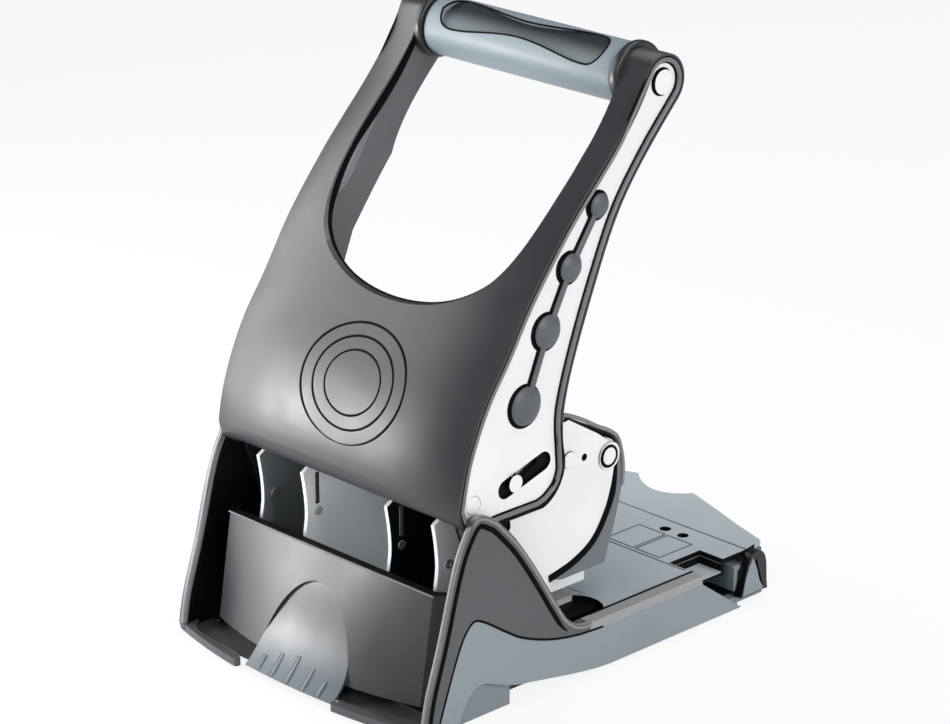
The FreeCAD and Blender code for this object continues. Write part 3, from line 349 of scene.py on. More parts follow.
BRIGHT = brushed("polished_pin", (0.78, 0.79, 0.80), 0.2, (900.0, 900.0, 900.0), 0.8)
ENAMEL = moulded("black_enamel", (0.012, 0.012, 0.014), 0.5, 0.3)
# Painted shade: the tongue goes from a paler foot up to a darker top, where it lies recessed under
# the drawer's face.
TONGUE = faded("tongue_painted_shade", (0.070, 0.090, 0.105), (0.045, 0.050, 0.057), leaning(90.0),
               4.0, 30.0, 0.36)
# Painted shade: the flat inlay goes from pale to almost black across the grip, as a dished floor
# would be lit.
PAINTED_DISH_SHADE = faded("grip_inlay_painted_dish_shade", (0.20, 0.225, 0.24), (0.018, 0.023, 0.028), leaning(GRIP_LEAN),
             172.0, 182.0, 0.32)

# Second finishes for a part of a piece.
# Painted shade: near black, laid on flanks, edges, slots, walls and insides where shade falls.
PAINTED_SHADE = plain((0.003, 0.0032, 0.0035), 0.6, 0.1)
# Painted light: the brackets' faces outside the channels, paler than the steel as if lit.
PAINTED_LIGHT_SHEET = plain((0.88, 0.91, 0.93), 0.45)
SHELL_SKIN = plain((0.19, 0.225, 0.25), 0.4)
PALE = plain((0.30, 0.305, 0.315), 0.36)
# Painted light: a lighter skin for the left arm's inner face, as the lit face.
PAINTED_LIGHT_INNER = plain((0.118, 0.121, 0.13), 0.4)

# Where they go, or with beyond set, where the first finish stays.
# Painted shade on faces that turn away from the side: the edges of plates and the flanks of pins and
# domes.
SHADED_FLANKS = [("nx", -1.0, 0.62)]
SHADED_PLATE_FLANKS = [("nx", -1.0, 0.95)]
BRACKET_INSIDE = [("sx", 26.9, 53.1)]
# Painted shade in the slots of the brackets' cheeks.
BRACKET_SLOTS = [("nx", -1.0, 0.5), ("y", -78.0, -20.0), ("z", 50.0, 100.0)]
# Painted shade: the head plates stay pale only on their outer faces and go black inside the head.
HEAD_OUTSIDE = [("sx", 64.3, 90.0)]
# Painted shade: the die bed goes black further than 52.2 mm from the middle.
BED_MIDDLE = [("sx", -1.0, 52.2)]
# Painted shade on the upright walls of the deck and the guide's pocket.
DECK_WALLS = [("nz", -1.0, 0.5), ("y", -90.0, 98.0)]
FRAME_BAND = [("y", -13.0, 200.0), ("z", 19.0, 60.0)]
# Painted shadow on the side wall's inner face beside the drawer.
FRAME_INSIDE = [("sx", 74.0, 74.8), ("y", -115.0, -30.0)]
# Painted shade in the slot of the lever's side.
ARM_SLOT = [("y", -72.0, -24.0), ("z", 80.0, 116.0), ("sx", 60.0, 80.0)]
# Painted light on the left arm's inner face, beside the window.
ARM_INSIDE = [("nx", 0.55, 1.1), ("z", 150.0, 280.0), ("sx", 46.0, 70.0), ("x", -75.0, 0.0)]
# Painted shade on the drawer front's top faces.
DRAWER_TOP = [("nz", 0.85, 1.1), ("z", 50.0, 60.0)]
LINER_FACES = [("nx", 0.5, 1.1)]

# Painted light and shade inside the channels: grey-blue at the left channel's outer cheek, fading to
# black by 34 mm from the middle; the right channel is all black.
CHANNEL = faded("channel_painted_light_and_shade", (0.20, 0.225, 0.24), (0.006, 0.006, 0.007), (1.0, 0.0, 0.0),
                -54.0, -34.0, 0.4)
CHANNEL = zoned("channel_with_painted_light", CHANNEL, PAINTED_LIGHT_SHEET, BRACKET_INSIDE, beyond=True)
CHANNEL = zoned("channel_with_shaded_slot", CHANNEL, PAINTED_SHADE, BRACKET_SLOTS)
HEAD_SIDE = zoned("head_side_plate_shaded_inside", PLATE, PAINTED_SHADE, HEAD_OUTSIDE, beyond=True)
HEAD_SIDE = zoned("head_plate_shaded_edges", HEAD_SIDE, PAINTED_SHADE, SHADED_PLATE_FLANKS)
ARM_SIDE = zoned("lever_plate_shaded_edges", PLATE, PAINTED_SHADE, SHADED_FLANKS)
PIN_SIDE = zoned("pin_shaded_flank", PLATE, PAINTED_SHADE, SHADED_FLANKS)
BEAD = zoned("rubber_bead_shaded_flank", RUBBER, PAINTED_SHADE, SHADED_FLANKS)
BED = zoned("bed_sheet", STEEL, PAINTED_SHADE, BED_MIDDLE, beyond=True)
TABLE_TOP = zoned("deck_with_shaded_walls", DECK, PAINTED_SHADE, DECK_WALLS)
FRAME_SIDE = moulded("side_moulding", (0.072, 0.077, 0.082), 0.36, 0.18)
FRAME_SIDE = zoned("side_frame", FRAME_SIDE, PALE, FRAME_BAND)
FRAME_SIDE = zoned("side_frame_shaded_inside", FRAME_SIDE, PAINTED_SHADE, FRAME_INSIDE)
SHELL_SIDE = crowned(moulded("panel_moulding", (0.036, 0.038, 0.043), 0.36, 0.18), 250.0)
SHELL_SIDE = zoned("lever_moulding_shaded_slot", SHELL_SIDE, PAINTED_SHADE, ARM_SLOT)
SHELL_SIDE = zoned("lever_arm_inside_painted_light", SHELL_SIDE, PAINTED_LIGHT_INNER, ARM_INSIDE)
DRAWER = crowned(moulded("drawer_moulding", (0.036, 0.038, 0.043), 0.36, 0.18), 160.0)
DRAWER = zoned("drawer_face_shaded_top", DRAWER, PAINTED_SHADE, DRAWER_TOP)
LINER = zoned("liner_right", DEEP, SHELL_SKIN, LINER_FACES)


# ---------------------------------------------------------------- modelling helpers
def deselect():
    """Nothing selected, in object mode."""
    if bpy.context.object and bpy.context.object.mode != "OBJECT":
        bpy.ops.object.mode_set(mode="OBJECT")
    bpy.ops.object.select_all(action="DESELECT")


def pick(piece):
    """Only this piece selected and active."""
    deselect()
    piece.select_set(True)
    bpy.context.view_layer.objects.active = piece


def apply_all(piece):
    """Applies the piece's modifiers in turn."""
    pick(piece)
    for modifier in list(piece.modifiers):
        bpy.ops.object.modifier_apply(modifier=modifier.name)


def smooth(piece, degrees):
    """Smooth shading, with creases sharper than this kept."""
    pick(piece)
    bpy.ops.object.shade_smooth_by_angle(angle=math.radians(degrees))


def finish(piece, body, material, slot, *nodes):
    """Puts a finished piece on its body, in place of the plain solids it stands for."""
    piece.data.materials.clear()
    piece.data.materials.append(material)
    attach(piece, body)
    if nodes:
        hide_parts(*nodes)


def body_of(node):
    """The moving body that a CAD node belongs to."""
    for body, members in frame["record"]["behaviour"]["bodies"].items():
        if node in members:
            return body


def slot_of(node):
    """The material slot that the record gives a CAD node."""
    for row in frame["record"]["subparts"]:
        if row["node"] == node:
            return row["material_slot"]


def eased(node, width, material):
    """The same piece with its edges eased by width, in millimetres."""
    source = frame["nodes"][node]
    piece = source.copy()
    piece.data = source.data.copy()
    piece.name = f"{node}_eased"
    piece.parent = None
    for key in list(piece.keys()):
        del piece[key]
    scene.collection.objects.link(piece)
    pick(piece)
    bpy.ops.object.mode_set(mode="EDIT")
    bpy.ops.mesh.select_all(action="SELECT")
    bpy.ops.mesh.remove_doubles(threshold=2e-6)
    bpy.ops.mesh.dissolve_limited(angle_limit=math.radians(0.4))
    bpy.ops.object.mode_set(mode="OBJECT")
    edge = piece.modifiers.new("eased_edges", "BEVEL")
    edge.width = width * MM
    edge.segments = 3
    edge.limit_method = "ANGLE"
    edge.angle_limit = math.radians(28.0)
    edge.miter_outer = "MITER_ARC"
    edge.use_clamp_overlap = True
    apply_all(piece)
    smooth(piece, 40.0)
    even = piece.modifiers.new("even_shading", "WEIGHTED_NORMAL")
    even.keep_sharp = True
    apply_all(piece)
    finish(piece, body_of(node), material, slot_of(node), node)


FINISHES = {
    "steel": STEEL, "bright_steel": BRIGHT, "dark_plastic": DARK, "light_plastic": LIGHT,
    "grey_plastic": MID, "black_plastic": BLACK, "white_aluminium": PLATE,
    "black_metal": ENAMEL, "rubber": RUBBER,
}


def dress_frame():
    """A plain finish for each CAD node by its slot."""
    for name, node in frame["nodes"].items():
        for slot in node.material_slots:
            slot.material = FINISHES[slot_of(name)]


# ---------------------------------------------------------------- outlines in the side view, in mm
# Each point is (depth, height), with the operator towards minus.
LEVER_FRONT = [(-87.0, 94.0), (-83.3, 111.0), (-77.9, 125.0), (-70.5, 139.0), (-60.6, 153.0),
               (-48.2, 172.6), (-32.4, 193.0), (-21.0, 206.0), (4.0, 232.0), (21.8, 258.5)]
LEVER_REAR = [(38.8, 241.5), (24.0, 226.0), (5.4, 202.4), (-7.6, 176.0), (-18.4, 149.6),
              (-25.0, 129.7), (-27.0, 118.5), (-26.2, 104.0), (-26.0, 96.0), (-29.5, 88.5),
              (-38.2, 82.4)]
LEVER_FOOT = [(-38.2, 82.4), (-50.0, 82.4), (-62.0, 82.4), (-74.0, 82.4), (-83.5, 85.4),
              (-87.0, 94.0)]
GRIP = (30.3, 250.0)
ARM_PIVOT = (8.4, 90.4)
FIN_FRONT = [(-109.3, 4.8), (-106.6, 18.7), (-99.2, 42.0), (-90.5, 72.9), (-84.1, 86.4)]
FIN_TOP = [(-84.1, 86.4), (-80.5, 90.6), (-76.0, 90.6), (-71.0, 88.0)]
FIN_REAR = [(-71.0, 88.0), (-66.4, 84.5), (-54.9, 71.8), (-43.2, 54.9), (-33.0, 38.6),
            (-26.3, 29.2), (-19.0, 24.6), (-12.0, 24.0)]
BORDER = [(-101.0, 7.0), (-95.8, 21.2), (-91.2, 33.0), (-86.7, 41.7), (-81.5, 46.0),
          (-75.0, 43.6), (-63.1, 35.7), (-53.7, 30.1), (-38.8, 24.5), (-22.4, 21.1),
          (-5.6, 19.9)]
# The opening in the lever's front, as (across, height).
WINDOW = [(-60.0, 246.0), (-60.0, 222.0), (-60.0, 200.0), (-52.0, 178.0), (-30.0, 164.0),
          (0.0, 159.5), (30.0, 164.0), (52.0, 178.0), (60.0, 200.0), (60.0, 222.0), (60.0, 246.0)]
DOME_RISE = 3.2
# The rubber domes on the lever's side, each with its radius.
BEADS = [(-6.7, 205.5, 5.7), (-22.9, 182.6, 6.5), (-35.9, 158.4, 7.6), (-48.0, 129.5, 8.7)]

# Distances from the middle plane, and heights.
HALF = 77.5
LINER_OUT = 74.2
TRIM_OUT = 73.8
PLATE_OUT = 72.5
ARM_PIN_OUT = 66.9
SKIRT_OUT = 64.2
GRIP_REACH = 56.0
GRIP_RADIUS = 13.0
CROWN_RADIUS = 12.0
DECK_TOP = 24.0
DRAWER_LIP = 55.4


def flow(points, steps=6):
    """A smooth chain through the points, with steps between each two."""
    ends = [points[0]] + list(points) + [points[-1]]
    chain = []
    for a, b, c, d in zip(ends, ends[1:], ends[2:], ends[3:]):
        for i in range(steps):
            t = i / steps
            chain.append(tuple(
                0.5 * (2 * q + (r - p) * t + (2 * p - 5 * q + 4 * r - s) * t * t
                       + (3 * q - p - 3 * r + s) * t ** 3)
                for p, q, r, s in zip(a, b, c, d)))
    return chain + [tuple(points[-1])]


def inset(chain, distance):
    """The same flat chain moved to its left by distance."""
    moved = []
    for i, (a, b) in enumerate(chain):
        before, after = chain[max(i - 1, 0)], chain[min(i + 1, len(chain) - 1)]
        dx, dy = after[0] - before[0], after[1] - before[1]
        length = math.hypot(dx, dy) or 1.0
        moved.append((a - dy / length * distance, b + dx / length * distance))
    return moved


def lever_loop(distance):
    """The lever's side outline, drawn in by distance, as one closed chain."""
    radius = CROWN_RADIUS - distance
    crown = [(GRIP[0] + radius * math.cos(math.radians(a)),
              GRIP[1] + radius * math.sin(math.radians(a))) for a in range(135, -46, -12)]
    front = inset(flow(LEVER_FRONT), -distance)[:-6]
    rear = inset(flow(LEVER_REAR), -distance)[6:]
    foot = inset(flow(LEVER_FOOT), -distance)
    return front + crown + rear[:-2] + foot[2:-2]


def on_side(chain, x):
    """A chain from the side view, set at x."""
    return [(x, y, z) for y, z in chain]


def as_mesh(name, curve):
    """A curve as a piece with a mesh."""
    piece = bpy.data.objects.new(name, curve)
    scene.collection.objects.link(piece)
    pick(piece)
    bpy.ops.object.convert(target="MESH")
    return bpy.context.object


def tube(name, path, radius, closed=False, sides=3, swell=None):
    """A round bead along a path, in millimetres; swell scales it point by point."""
    curve = bpy.data.curves.new(name, "CURVE")
    curve.dimensions = "3D"
    curve.bevel_depth = radius * MM
    curve.bevel_resolution = sides
    curve.use_fill_caps = True
    run = curve.splines.new("POLY")
    run.points.add(len(path) - 1)
    for point, (x, y, z) in zip(run.points, path):
        point.co = (x * MM, y * MM, z * MM, 1.0)
    if swell:
        for point, factor in zip(run.points, swell):
            point.radius = factor
    run.use_cyclic_u = closed
    piece = as_mesh(name, curve)
    smooth(piece, 60.0)
    return piece


def flat_piece(name, outline, thick, stand):
    """A flat piece cut to an outline, in mm, and set in place by the matrix stand."""
    curve = bpy.data.curves.new(name, "CURVE")
    curve.dimensions = "2D"
    curve.fill_mode = "BOTH"
    curve.extrude = thick / 2 * MM
    run = curve.splines.new("POLY")
    run.points.add(len(outline) - 1)
    for point, (across, up) in zip(run.points, outline):
        point.co = (across * MM, up * MM, 0.0, 1.0)
    run.use_cyclic_u = True
    piece = as_mesh(name, curve)
    piece.matrix_world = Matrix(stand)
    bpy.ops.object.transform_apply(location=True, rotation=True, scale=True)
    return piece


def side_panel(name, outline, x, thick):
    """A flat piece whose outline is given in the side view, centred on x."""
    stand = ((0, 0, 1, x * MM), (1, 0, 0, 0), (0, 1, 0, 0), (0, 0, 0, 1))
    piece = flat_piece(name, outline, thick, stand)
    smooth(piece, 35.0)
    return piece


def join(pieces, name):
    """Several pieces made one."""
    deselect()
    for piece in pieces:
        piece.select_set(True)
    bpy.context.view_layer.objects.active = pieces[0]
    bpy.ops.object.join()
    whole = bpy.context.object
    whole.name = name
    return whole


def mirrored(maker):
    """Makes a piece once for each side of the machine."""
    for side, name in ((-1, "left"), (1, "right")):
        maker(side, name)


# ---------------------------------------------------------------- lever details
def lever_trim(side, name):
    """A grey bead between two dark ones round the side plate; the dark ones are painted shade at the
    shell's edge and the plate's seam.
    """
    rows = (("edge", 1.3, TRIM_OUT - 0.5, 0.6, DEEP), ("trim", 2.6, TRIM_OUT - 0.5, 1.05, BEZEL),
            ("seam", 3.8, PLATE_OUT - 0.1, 0.55, DEEP))
    for label, draw, x, radius, material in rows:
        bead = tube(f"lever_{label}_{name}", on_side(lever_loop(draw), side * x), radius, True, 4)
        finish(bead, "lever", material, "dark_plastic")


def front_depth(height):
    """Where the lever's front skin is at a height."""
    chain = flow(LEVER_FRONT, 12)
    for (y0, z0), (y1, z1) in zip(chain, chain[1:]):
        if z0 <= height <= z1:
            return y0 + (y1 - y0) * (height - z0) / (z1 - z0)
    return chain[-1][0]


def window_seam():
    """A dark bead behind the front's edge, wide up the arms and narrow across the bottom, as the
    painted shade in the gap there.
    """
    chain = flow(WINDOW, 8)
    path = [(x * 1.012, front_depth(z) + 3.6, z) for x, z in chain]
    swell = [0.7 + 1.3 * min(max((z - 166.0) / 22.0, 0.0), 1.0) for _, z in chain]
    seam = tube("window_seam", path, 0.85, False, 3, swell)
    finish(seam, "lever", DEEP, "black_plastic")


def arm_lip(side, name):
    """The rounded corner behind the window's lower corner, in a pale moulding as its painted
    highlight.
    """
    run = flow([(-60.0, 218.0), (-60.0, 204.0), (-58.4, 193.0), (-55.6, 187.0)], 8)
    last = len(run) - 1
    swell = [max(math.sin(math.pi * min(i / last * 1.04, 1.0)), 0.05) ** 0.7
             for i in range(last + 1)]
    path = [(-side * (x - 1.6 - 2.4 * f), front_depth(z) + 4.6 + 3.6 * f, z)
            for (x, z), f in zip(run, swell)]
    lip = tube(f"arm_lip_{name}", path, 4.4, False, 6, swell)
    finish(lip, "lever", LIP, "dark_plastic")


RING_HEIGHT = 127.5
RING_SQUASH = 0.86
RINGS = [(30.0, 0.75), (23.0, 0.7), (16.0, 0.6)]


def panel_rings():
    """Plain dark rings laid on the lever's front; RINGS gives each its radius and its bead's."""
    chain = flow(LEVER_FRONT, 16)
    runs = [0.0]
    for a, b in zip(chain, chain[1:]):
        runs.append(runs[-1] + math.dist(a, b))
    middle = next(r for r, (_, z) in zip(runs, chain) if z >= RING_HEIGHT)
    rings = []
    for radius, thick in RINGS:
        path = []
        for i in range(96):
            angle = math.radians(i * 3.75)
            along = middle + radius * RING_SQUASH * math.sin(angle)
            k = max(j for j, r in enumerate(runs) if r <= along)
            t = (along - runs[k]) / (runs[k + 1] - runs[k])
            y = chain[k][0] + (chain[k + 1][0] - chain[k][0]) * t
            z = chain[k][1] + (chain[k + 1][1] - chain[k][1]) * t
            path.append((radius * math.cos(angle), y + thick * 0.62, z))
        rings.append(tube(f"ring_{radius:.0f}", path, thick, True, 3))
    finish(join(rings, "panel_rings"), "lever", DEEP, "black_plastic")


def bead_strip(side, name):
    """Rubber domes in a row joined by a narrow rib, and dark beads set off to their front as their
    painted shadows.
    """
    base = side * (PLATE_OUT - 0.2)
    pieces, gaps = [], []
    for number, (y, z, radius) in enumerate(BEADS):
        deselect()
        bpy.ops.mesh.primitive_uv_sphere_add(segments=40, ring_count=20, radius=radius * MM,
                                             location=(base * MM, y * MM, z * MM))
        dome = bpy.context.object
        dome.scale = (DOME_RISE / radius, 1.0, 1.0)
        bpy.ops.object.transform_apply(location=True, rotation=False, scale=True)
        dome.name = f"dome_{number}"
        pieces.append(dome)
    for number, (a, b) in enumerate(zip(BEADS, BEADS[1:])):
        pieces.append(tube(f"rib_{number}", [(base, a[0], a[1]), (base, b[0], b[1])], 2.0))
    strip = join(pieces, f"bead_strip_{name}")
    smooth(strip, 60.0)
    finish(strip, "lever", BEAD, "rubber", f"bead_inlay_{name}")
    for number, (y, z, radius) in enumerate(BEADS):
        round_dome = [(base, y - 0.6 + (radius + 0.1) * math.cos(t / 20 * math.pi),
                       z + (radius + 0.1) * math.sin(t / 20 * math.pi)) for t in range(40)]
        gaps.append(tube(f"rim_{number}", round_dome, 0.8, True))
    for number, (a, b) in enumerate(zip(BEADS, BEADS[1:])):
        beside_rib = [(base, a[0] - 1.9, a[1]), (base, b[0] - 1.9, b[1])]
        gaps.append(tube(f"rib_painted_shadow_{number}", beside_rib, 0.9))
    finish(join(gaps, f"bead_painted_shadows_{name}"), "lever", DEEP, "black_plastic")


# The grip's hollow, as (along, across).
INLAY = [(-48.0, 0.0), (-44.5, 6.4), (-34.0, 7.6), (0.0, 4.2), (34.0, 7.6), (44.5, 6.4),
         (48.0, 0.0), (44.5, -6.4), (34.0, -7.6), (0.0, -4.2), (-34.0, -7.6), (-44.5, -6.4),
         (-48.0, 0.0)]


def on_grip(name, outline, near, far):
    """A prism on the grip, whose outline is (along, across), from near to far off its axis."""
    off = (near + far) / 2 * MM
    cos, sin = math.cos(math.radians(GRIP_LEAN)), math.sin(math.radians(GRIP_LEAN))
    stand = ((1, 0, 0, 0), (0, cos, -sin, GRIP[0] * MM - off * sin),
             (0, sin, cos, GRIP[1] * MM + off * cos), (0, 0, 0, 1))
    return flat_piece(name, outline, far - near, stand)


def dished_grip():
    """The sleeve with its hollow, the flat inlay on the hollow's floor with a dish's shade painted
    on it, and the line round it.
    """
    outline = flow(INLAY, 10)[:-1]
    deselect()
    bpy.ops.mesh.primitive_cylinder_add(vertices=128, radius=GRIP_RADIUS * MM,
                                        depth=2 * GRIP_REACH * MM,
                                        location=(0.0, GRIP[0] * MM, GRIP[1] * MM),
                                        rotation=(0.0, math.radians(90.0), 0.0))
    sleeve = bpy.context.object
    sleeve.name = "sleeve_body"
    bpy.ops.object.transform_apply(location=True, rotation=True, scale=True)
    edge = sleeve.modifiers.new("ends", "BEVEL")
    edge.width = 2.2 * MM
    edge.segments = 4
    edge.limit_method = "ANGLE"
    edge.angle_limit = math.radians(60.0)
    apply_all(sleeve)
    cutter = on_grip("hollow", outline, 9.6, 20.0)
    cut = sleeve.modifiers.new("hollow", "BOOLEAN")
    cut.operation = "DIFFERENCE"
    cut.solver = "EXACT"
    cut.object = cutter
    apply_all(sleeve)
    bpy.data.objects.remove(cutter)
    smooth(sleeve, 30.0)
    finish(sleeve, "lever", SLEEVE, slot_of("grip_sleeve"), "grip_sleeve")
    inlay = on_grip("inlay_floor", [(x * 0.995, v * 0.98) for x, v in outline], 8.6, 10.4)
    smooth(inlay, 30.0)
    finish(inlay, "lever", PAINTED_DISH_SHADE, slot_of("grip_inlay"), "grip_inlay")
    cos, sin = math.cos(math.radians(GRIP_LEAN)), math.sin(math.radians(GRIP_LEAN))
    path = []
    for x, v in outline:
        rise = math.sqrt((GRIP_RADIUS - 0.1) ** 2 - v ** 2)
        path.append((x, GRIP[0] + v * cos - rise * sin, GRIP[1] + v * sin + rise * cos))
    finish(tube("grip_seam", path, 0.42, True), "lever", DEEP, "black_plastic")


def pin_shadow(name, side, body, place, x, radius):
    """A thin dark ring, set a little to the front, painted as the shadow beside a pin's head."""
    ring = [(side * x, place[0] - 0.5 + radius * math.cos(t / 24 * math.pi),
             place[1] + 0.1 + radius * math.sin(t / 24 * math.pi)) for t in range(48)]
    finish(tube(name, ring, 0.62, True), body, DEEP, "black_metal")


def pin_shadows(side, name):
    """The painted shadow rings at the grip's pin and at the press arm's pivot."""
    pin_shadow(f"grip_pin_painted_shadow_{name}", side, "lever", GRIP, PLATE_OUT + 0.15, 5.4)
    pin_shadow(f"arm_pin_painted_shadow_{name}", side, "base", ARM_PIVOT, ARM_PIN_OUT, 4.5)


# ---------------------------------------------------------------- body details
def fin_lines(side, name):
    """A rounded rim round the side wall, a dark bead beside it as the groove's painted shade, and
    the shell's seam.
    """
    edge = flow(FIN_FRONT) + flow(FIN_TOP + FIN_REAR[1:])[1:]
    count = len(edge)
    front = len(flow(FIN_FRONT))
    # Nothing up the front edge and one from the crest back, where the rim lies farther out.
    turns = [min(max((i - front + 10) / 14, 0.0), 1.0) for i in range(count)]
    rim = [(side * (HALF - 2.0 + 0.6 * t), *point)
           for t, point in zip(turns, inset(edge, -1.1))]
    finish(tube(f"fin_rim_{name}", rim, 1.55, False, 4), "base", RIM, "dark_plastic")
    near, far = inset(edge, -2.4), inset(edge, -4.0)
    groove = [(side * (HALF - 0.55), a[0] + (b[0] - a[0]) * t, a[1] + (b[1] - a[1]) * t)
              for t, a, b in zip(turns, near, far)]
    ends = [min(1.0, (count - 8 - i) / 8) for i in range(count - 8)]
    finish(tube(f"fin_groove_{name}", groove[:count - 8], 1.3, False, 3, ends), "base", DEEP,
           "black_plastic")
    seam = on_side(flow(BORDER), side * (HALF - 0.25))
    finish(tube(f"shell_seam_{name}", seam, 0.6), "base", DEEP, "black_plastic")


def fin_liner(side, name):
    """The inner skin of the side wall beside the drawer: pale on the right, and black on the left as
    painted shade.
    """
    outline = [(-106.0, 0.4), (-99.5, 24.0), (-95.0, 44.0), (-89.0, 65.0), (-72.0, 64.0),
               (-58.0, 57.0), (-58.0, 0.4)]
    finish(side_panel(f"fin_liner_{name}", outline, side * LINER_OUT, 0.3), "base",
           LINER if side > 0 else DEEP, "black_plastic")


def deck_edge(side, name):
    """A thin dark bead, painted as the shade in the gap between the deck and the frame's rim."""
    x = side * (HALF - 6.3)
    z = DECK_TOP - 0.1
    rear = 57.0 if side > 0 else 96.0
    path = [(x, -8.0, z), (x, 20.0, z), (x, rear, z)]
    finish(tube(f"deck_gap_{name}", path, 0.6), "base", DEEP, "black_plastic")


def head_skirt_side(side, name):
    """The skirt's side behind the head plate, a dark bead between them as the gap's painted shade,
    and a pale bead on the head's rim as its painted highlight.
    """
    gap = flow([(-26.4, 43.5), (-13.0, 46.6), (-0.5, 53.0), (7.8, 63.8), (12.6, 76.0), (14.4, 88.0)])
    outer = flow([(19.0, 88.0), (19.3, 79.0), (17.1, 68.5), (13.4, 55.6), (10.6, 48.3), (8.3, 41.2)])
    piece = side_panel(f"skirt_side_{name}", gap + outer + [(-17.5, 41.2)],
                       side * SKIRT_OUT, 0.8)
    finish(piece, "base", SKIRT, "grey_plastic")
    band = flow([(-27.0, 44.6), (-13.0, 47.8), (-1.0, 54.0), (6.9, 64.2), (11.9, 76.0),
                 (13.6, 90.0)])
    ends = [min(1.0, 0.4 + (len(band) - 1 - i) / 12) for i in range(len(band))]
    finish(tube(f"skirt_gap_{name}", on_side(band, side * (SKIRT_OUT + 0.7)), 2.3, False, 3, ends),
           "base", DEEP, "black_plastic")
    crown = flow([(-30.0, 114.3), (-18.7, 115.4), (-7.2, 110.6), (2.5, 104.9), (10.2, 100.8),
                  (15.2, 96.6), (17.6, 90.5), (18.9, 83.0), (18.6, 74.0)])
    finish(tube(f"head_rim_{name}", on_side(crown, side * (SKIRT_OUT + 0.4)), 0.95), "base", RIM,
           "dark_plastic")


def guide_web():
    """The pale web inside the guide's arched head."""
    outline = [(84.8, 5.2), (86.4, 12.5), (88.6, 18.0), (91.0, 22.0), (93.8, 16.0), (95.6, 10.0),
               (98.6, 5.2)]
    finish(side_panel("guide_web", outline, 76.3, 0.8), "guide", LIGHT, "grey_plastic")


def drawer_edge():
    """The rounded upper edge of the drawer's front, which catches the light, in a paler grey as its
    painted highlight.
    """
    run = [(x, y, DRAWER_LIP) for x, y in ((-63.6, -90.9), (-30.0, -91.1), (30.0, -91.1),
                                           (63.6, -90.9))]
    finish(tube("drawer_edge", run, 0.5), "drawer", MID, "dark_plastic")


# The tongue's skin at its middle: height, then depth.
TONGUE_RUN = [(3.0, -116.2), (8.5, -110.8), (12.0, -107.9), (16.0, -105.4)]


def tongue_depth(x, height):
    """Where the tongue's skin is at a height; it bows back to its sides."""
    for (z0, y0), (z1, y1) in zip(TONGUE_RUN, TONGUE_RUN[1:]):
        if height <= z1:
            return y0 + (y1 - y0) * (height - z0) / (z1 - z0) + 1.6 * (x / 30.0) ** 2
    return TONGUE_RUN[-1][1]


def tongue_ribs():
    """Five short finger ribs on the tongue's foot, pale as a painted highlight, each with a darker
    bead beside it as its painted shadow.
    """
    ribs, grooves = [], []
    for x, top in ((-20.0, 8.5), (-11.0, 11.5), (-1.5, 13.0), (8.5, 11.0), (17.5, 9.0)):
        heights = [3.4, 5.0, 6.8, 8.5] + ([10.0, top] if top > 10.5 else [])
        rib = [(x + 0.9, tongue_depth(x, z) + 0.1, z) for z in heights]
        groove = [(x - 0.2, tongue_depth(x, z) + 0.1, z) for z in heights]
        ribs.append(tube(f"rib_{x:.0f}", rib, 0.75))
        grooves.append(tube(f"groove_{x:.0f}", groove, 0.5))
    finish(join(ribs, "tongue_ribs"), "drawer", LIGHT, "light_plastic")
    finish(join(grooves, "tongue_rib_shadows"), "drawer", RUBBER, "light_plastic")


def table_marks():
    """Thin dark lines that frame the paper scales, left bare."""
    z = DECK_TOP
    marks = [
        [(19.0, 55.6, z), (68.0, 55.6, z)],
        [(19.0, 58.0, z), (35.0, 58.0, z), (35.0, 79.0, z), (19.0, 79.0, z), (19.0, 58.0, z)],
        [(36.5, 58.0, z), (51.0, 58.0, z), (51.0, 79.0, z), (36.5, 79.0, z), (36.5, 58.0, z)],
        [(-71.0, 92.2, z), (71.0, 92.2, z)],
    ]
    lines = [tube(f"mark_{i}", path, 0.36) for i, path in enumerate(marks)]
    finish(join(lines, "table_marks"), "base", RUBBER, "black_plastic")


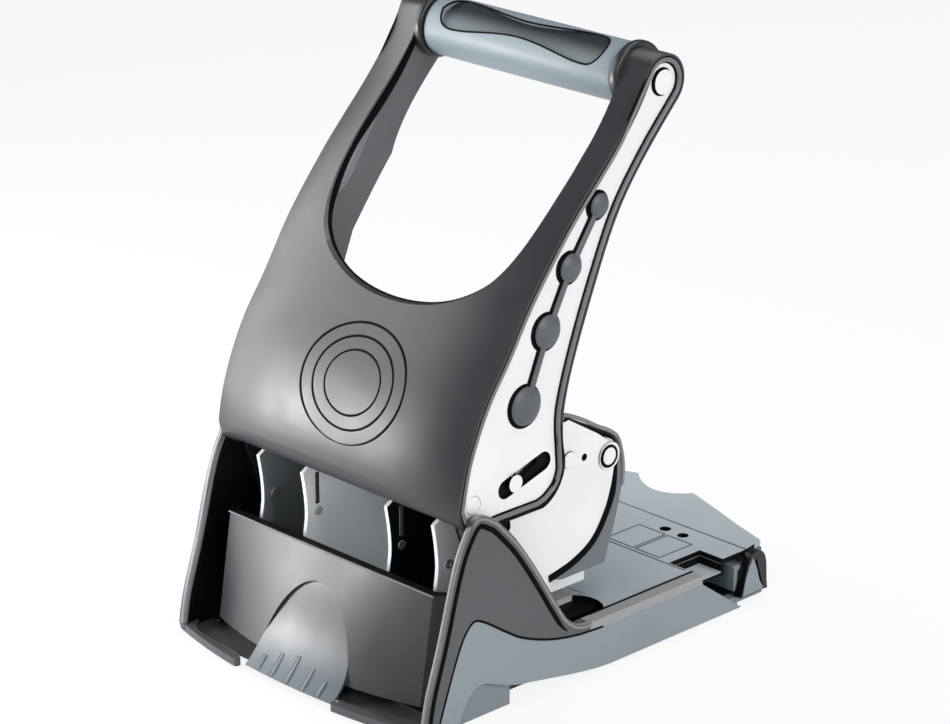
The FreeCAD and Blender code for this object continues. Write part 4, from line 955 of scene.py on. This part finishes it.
# How wide each CAD piece's edges are eased, in millimetres, and its finish.
EASED = {
    "lever_shell": (0.9, SHELL_SIDE), "surround": (0.8, FRAME_SIDE), "lower_shell": (0.7, LIGHT),
    "paper_table": (0.5, TABLE_TOP), "drawer_front": (1.0, DRAWER),
    "drawer_tongue": (0.5, TONGUE), "chip_bin": (0.5, BLACK),
    "lever_plate_left": (0.3, ARM_SIDE), "lever_plate_right": (0.3, ARM_SIDE),
    "head_plate_left": (0.4, HEAD_SIDE), "head_plate_right": (0.4, HEAD_SIDE),
    "head_top": (0.4, PLATE), "rear_cover": (0.6, BLACK), "head_skirt": (0.6, SKIRT),
    "grip_caps": (1.2, TRIM), "grip_axle": (0.5, PIN_SIDE),
    "lever_pivot_pin_left": (0.3, PIN_SIDE), "lever_pivot_pin_right": (0.3, PIN_SIDE),
    "arm_pivot_pin_left": (0.4, PIN_SIDE), "arm_pivot_pin_right": (0.4, PIN_SIDE),
    "arm_pivot_washer_left": (0.2, PIN_SIDE), "arm_pivot_washer_right": (0.2, PIN_SIDE),
    "drive_pin_left": (0.4, PIN_SIDE), "drive_pin_right": (0.4, PIN_SIDE),
    "head_rivets": (0.4, PIN_SIDE), "cheek_rivets": (0.2, BRIGHT), "bracket_screws": (0.4, STEEL),
    "punch_bracket_left": (0.3, CHANNEL), "punch_bracket_right": (0.3, CHANNEL),
    "guide_head": (0.7, BLACK), "paper_guide": (0.6, LIGHT), "guide_pocket": (0.4, TABLE_TOP),
    "press_bar": (0.5, STEEL), "punch_bridge": (0.5, STEEL), "rubber_feet": (0.6, FOOT),
    "die_plate": (0.3, STEEL), "die_bed": (0.3, BED),
}


def build_machine():
    """Every piece, in the order in which the machine goes together."""
    for node, (width, material) in EASED.items():
        eased(node, width, material)
    mirrored(lever_trim)
    window_seam()
    mirrored(arm_lip)
    panel_rings()
    mirrored(bead_strip)
    dished_grip()
    mirrored(pin_shadows)
    mirrored(fin_lines)
    mirrored(fin_liner)
    mirrored(head_skirt_side)
    mirrored(deck_edge)
    guide_web()
    drawer_edge()
    tongue_ribs()
    table_marks()


add_camera()
build_world()
add_floor()
add_softbox("key", (-0.632, -0.300, 0.30), (-0.03, -0.06, 0.14), 0.60, 0.75, 6.0)
add_softbox("low", (-0.40, -0.44, 0.14), (-0.03, -0.10, 0.04), 0.16, 0.16, 2.0)
add_softbox("front", (0.7, -1.5, 0.9), (0, 0, 0.10), 0.6, 0.6, 5.0)
add_softbox("side", (1.9, 0.1, 0.9), (0, 0, 0.1), 1.4, 1.2, 27.0)
add_softbox("top", (0.1, 0.5, 1.9), (0, 0, 0.1), 1.4, 1.4, 19.0)
dress_frame()
build_machine()
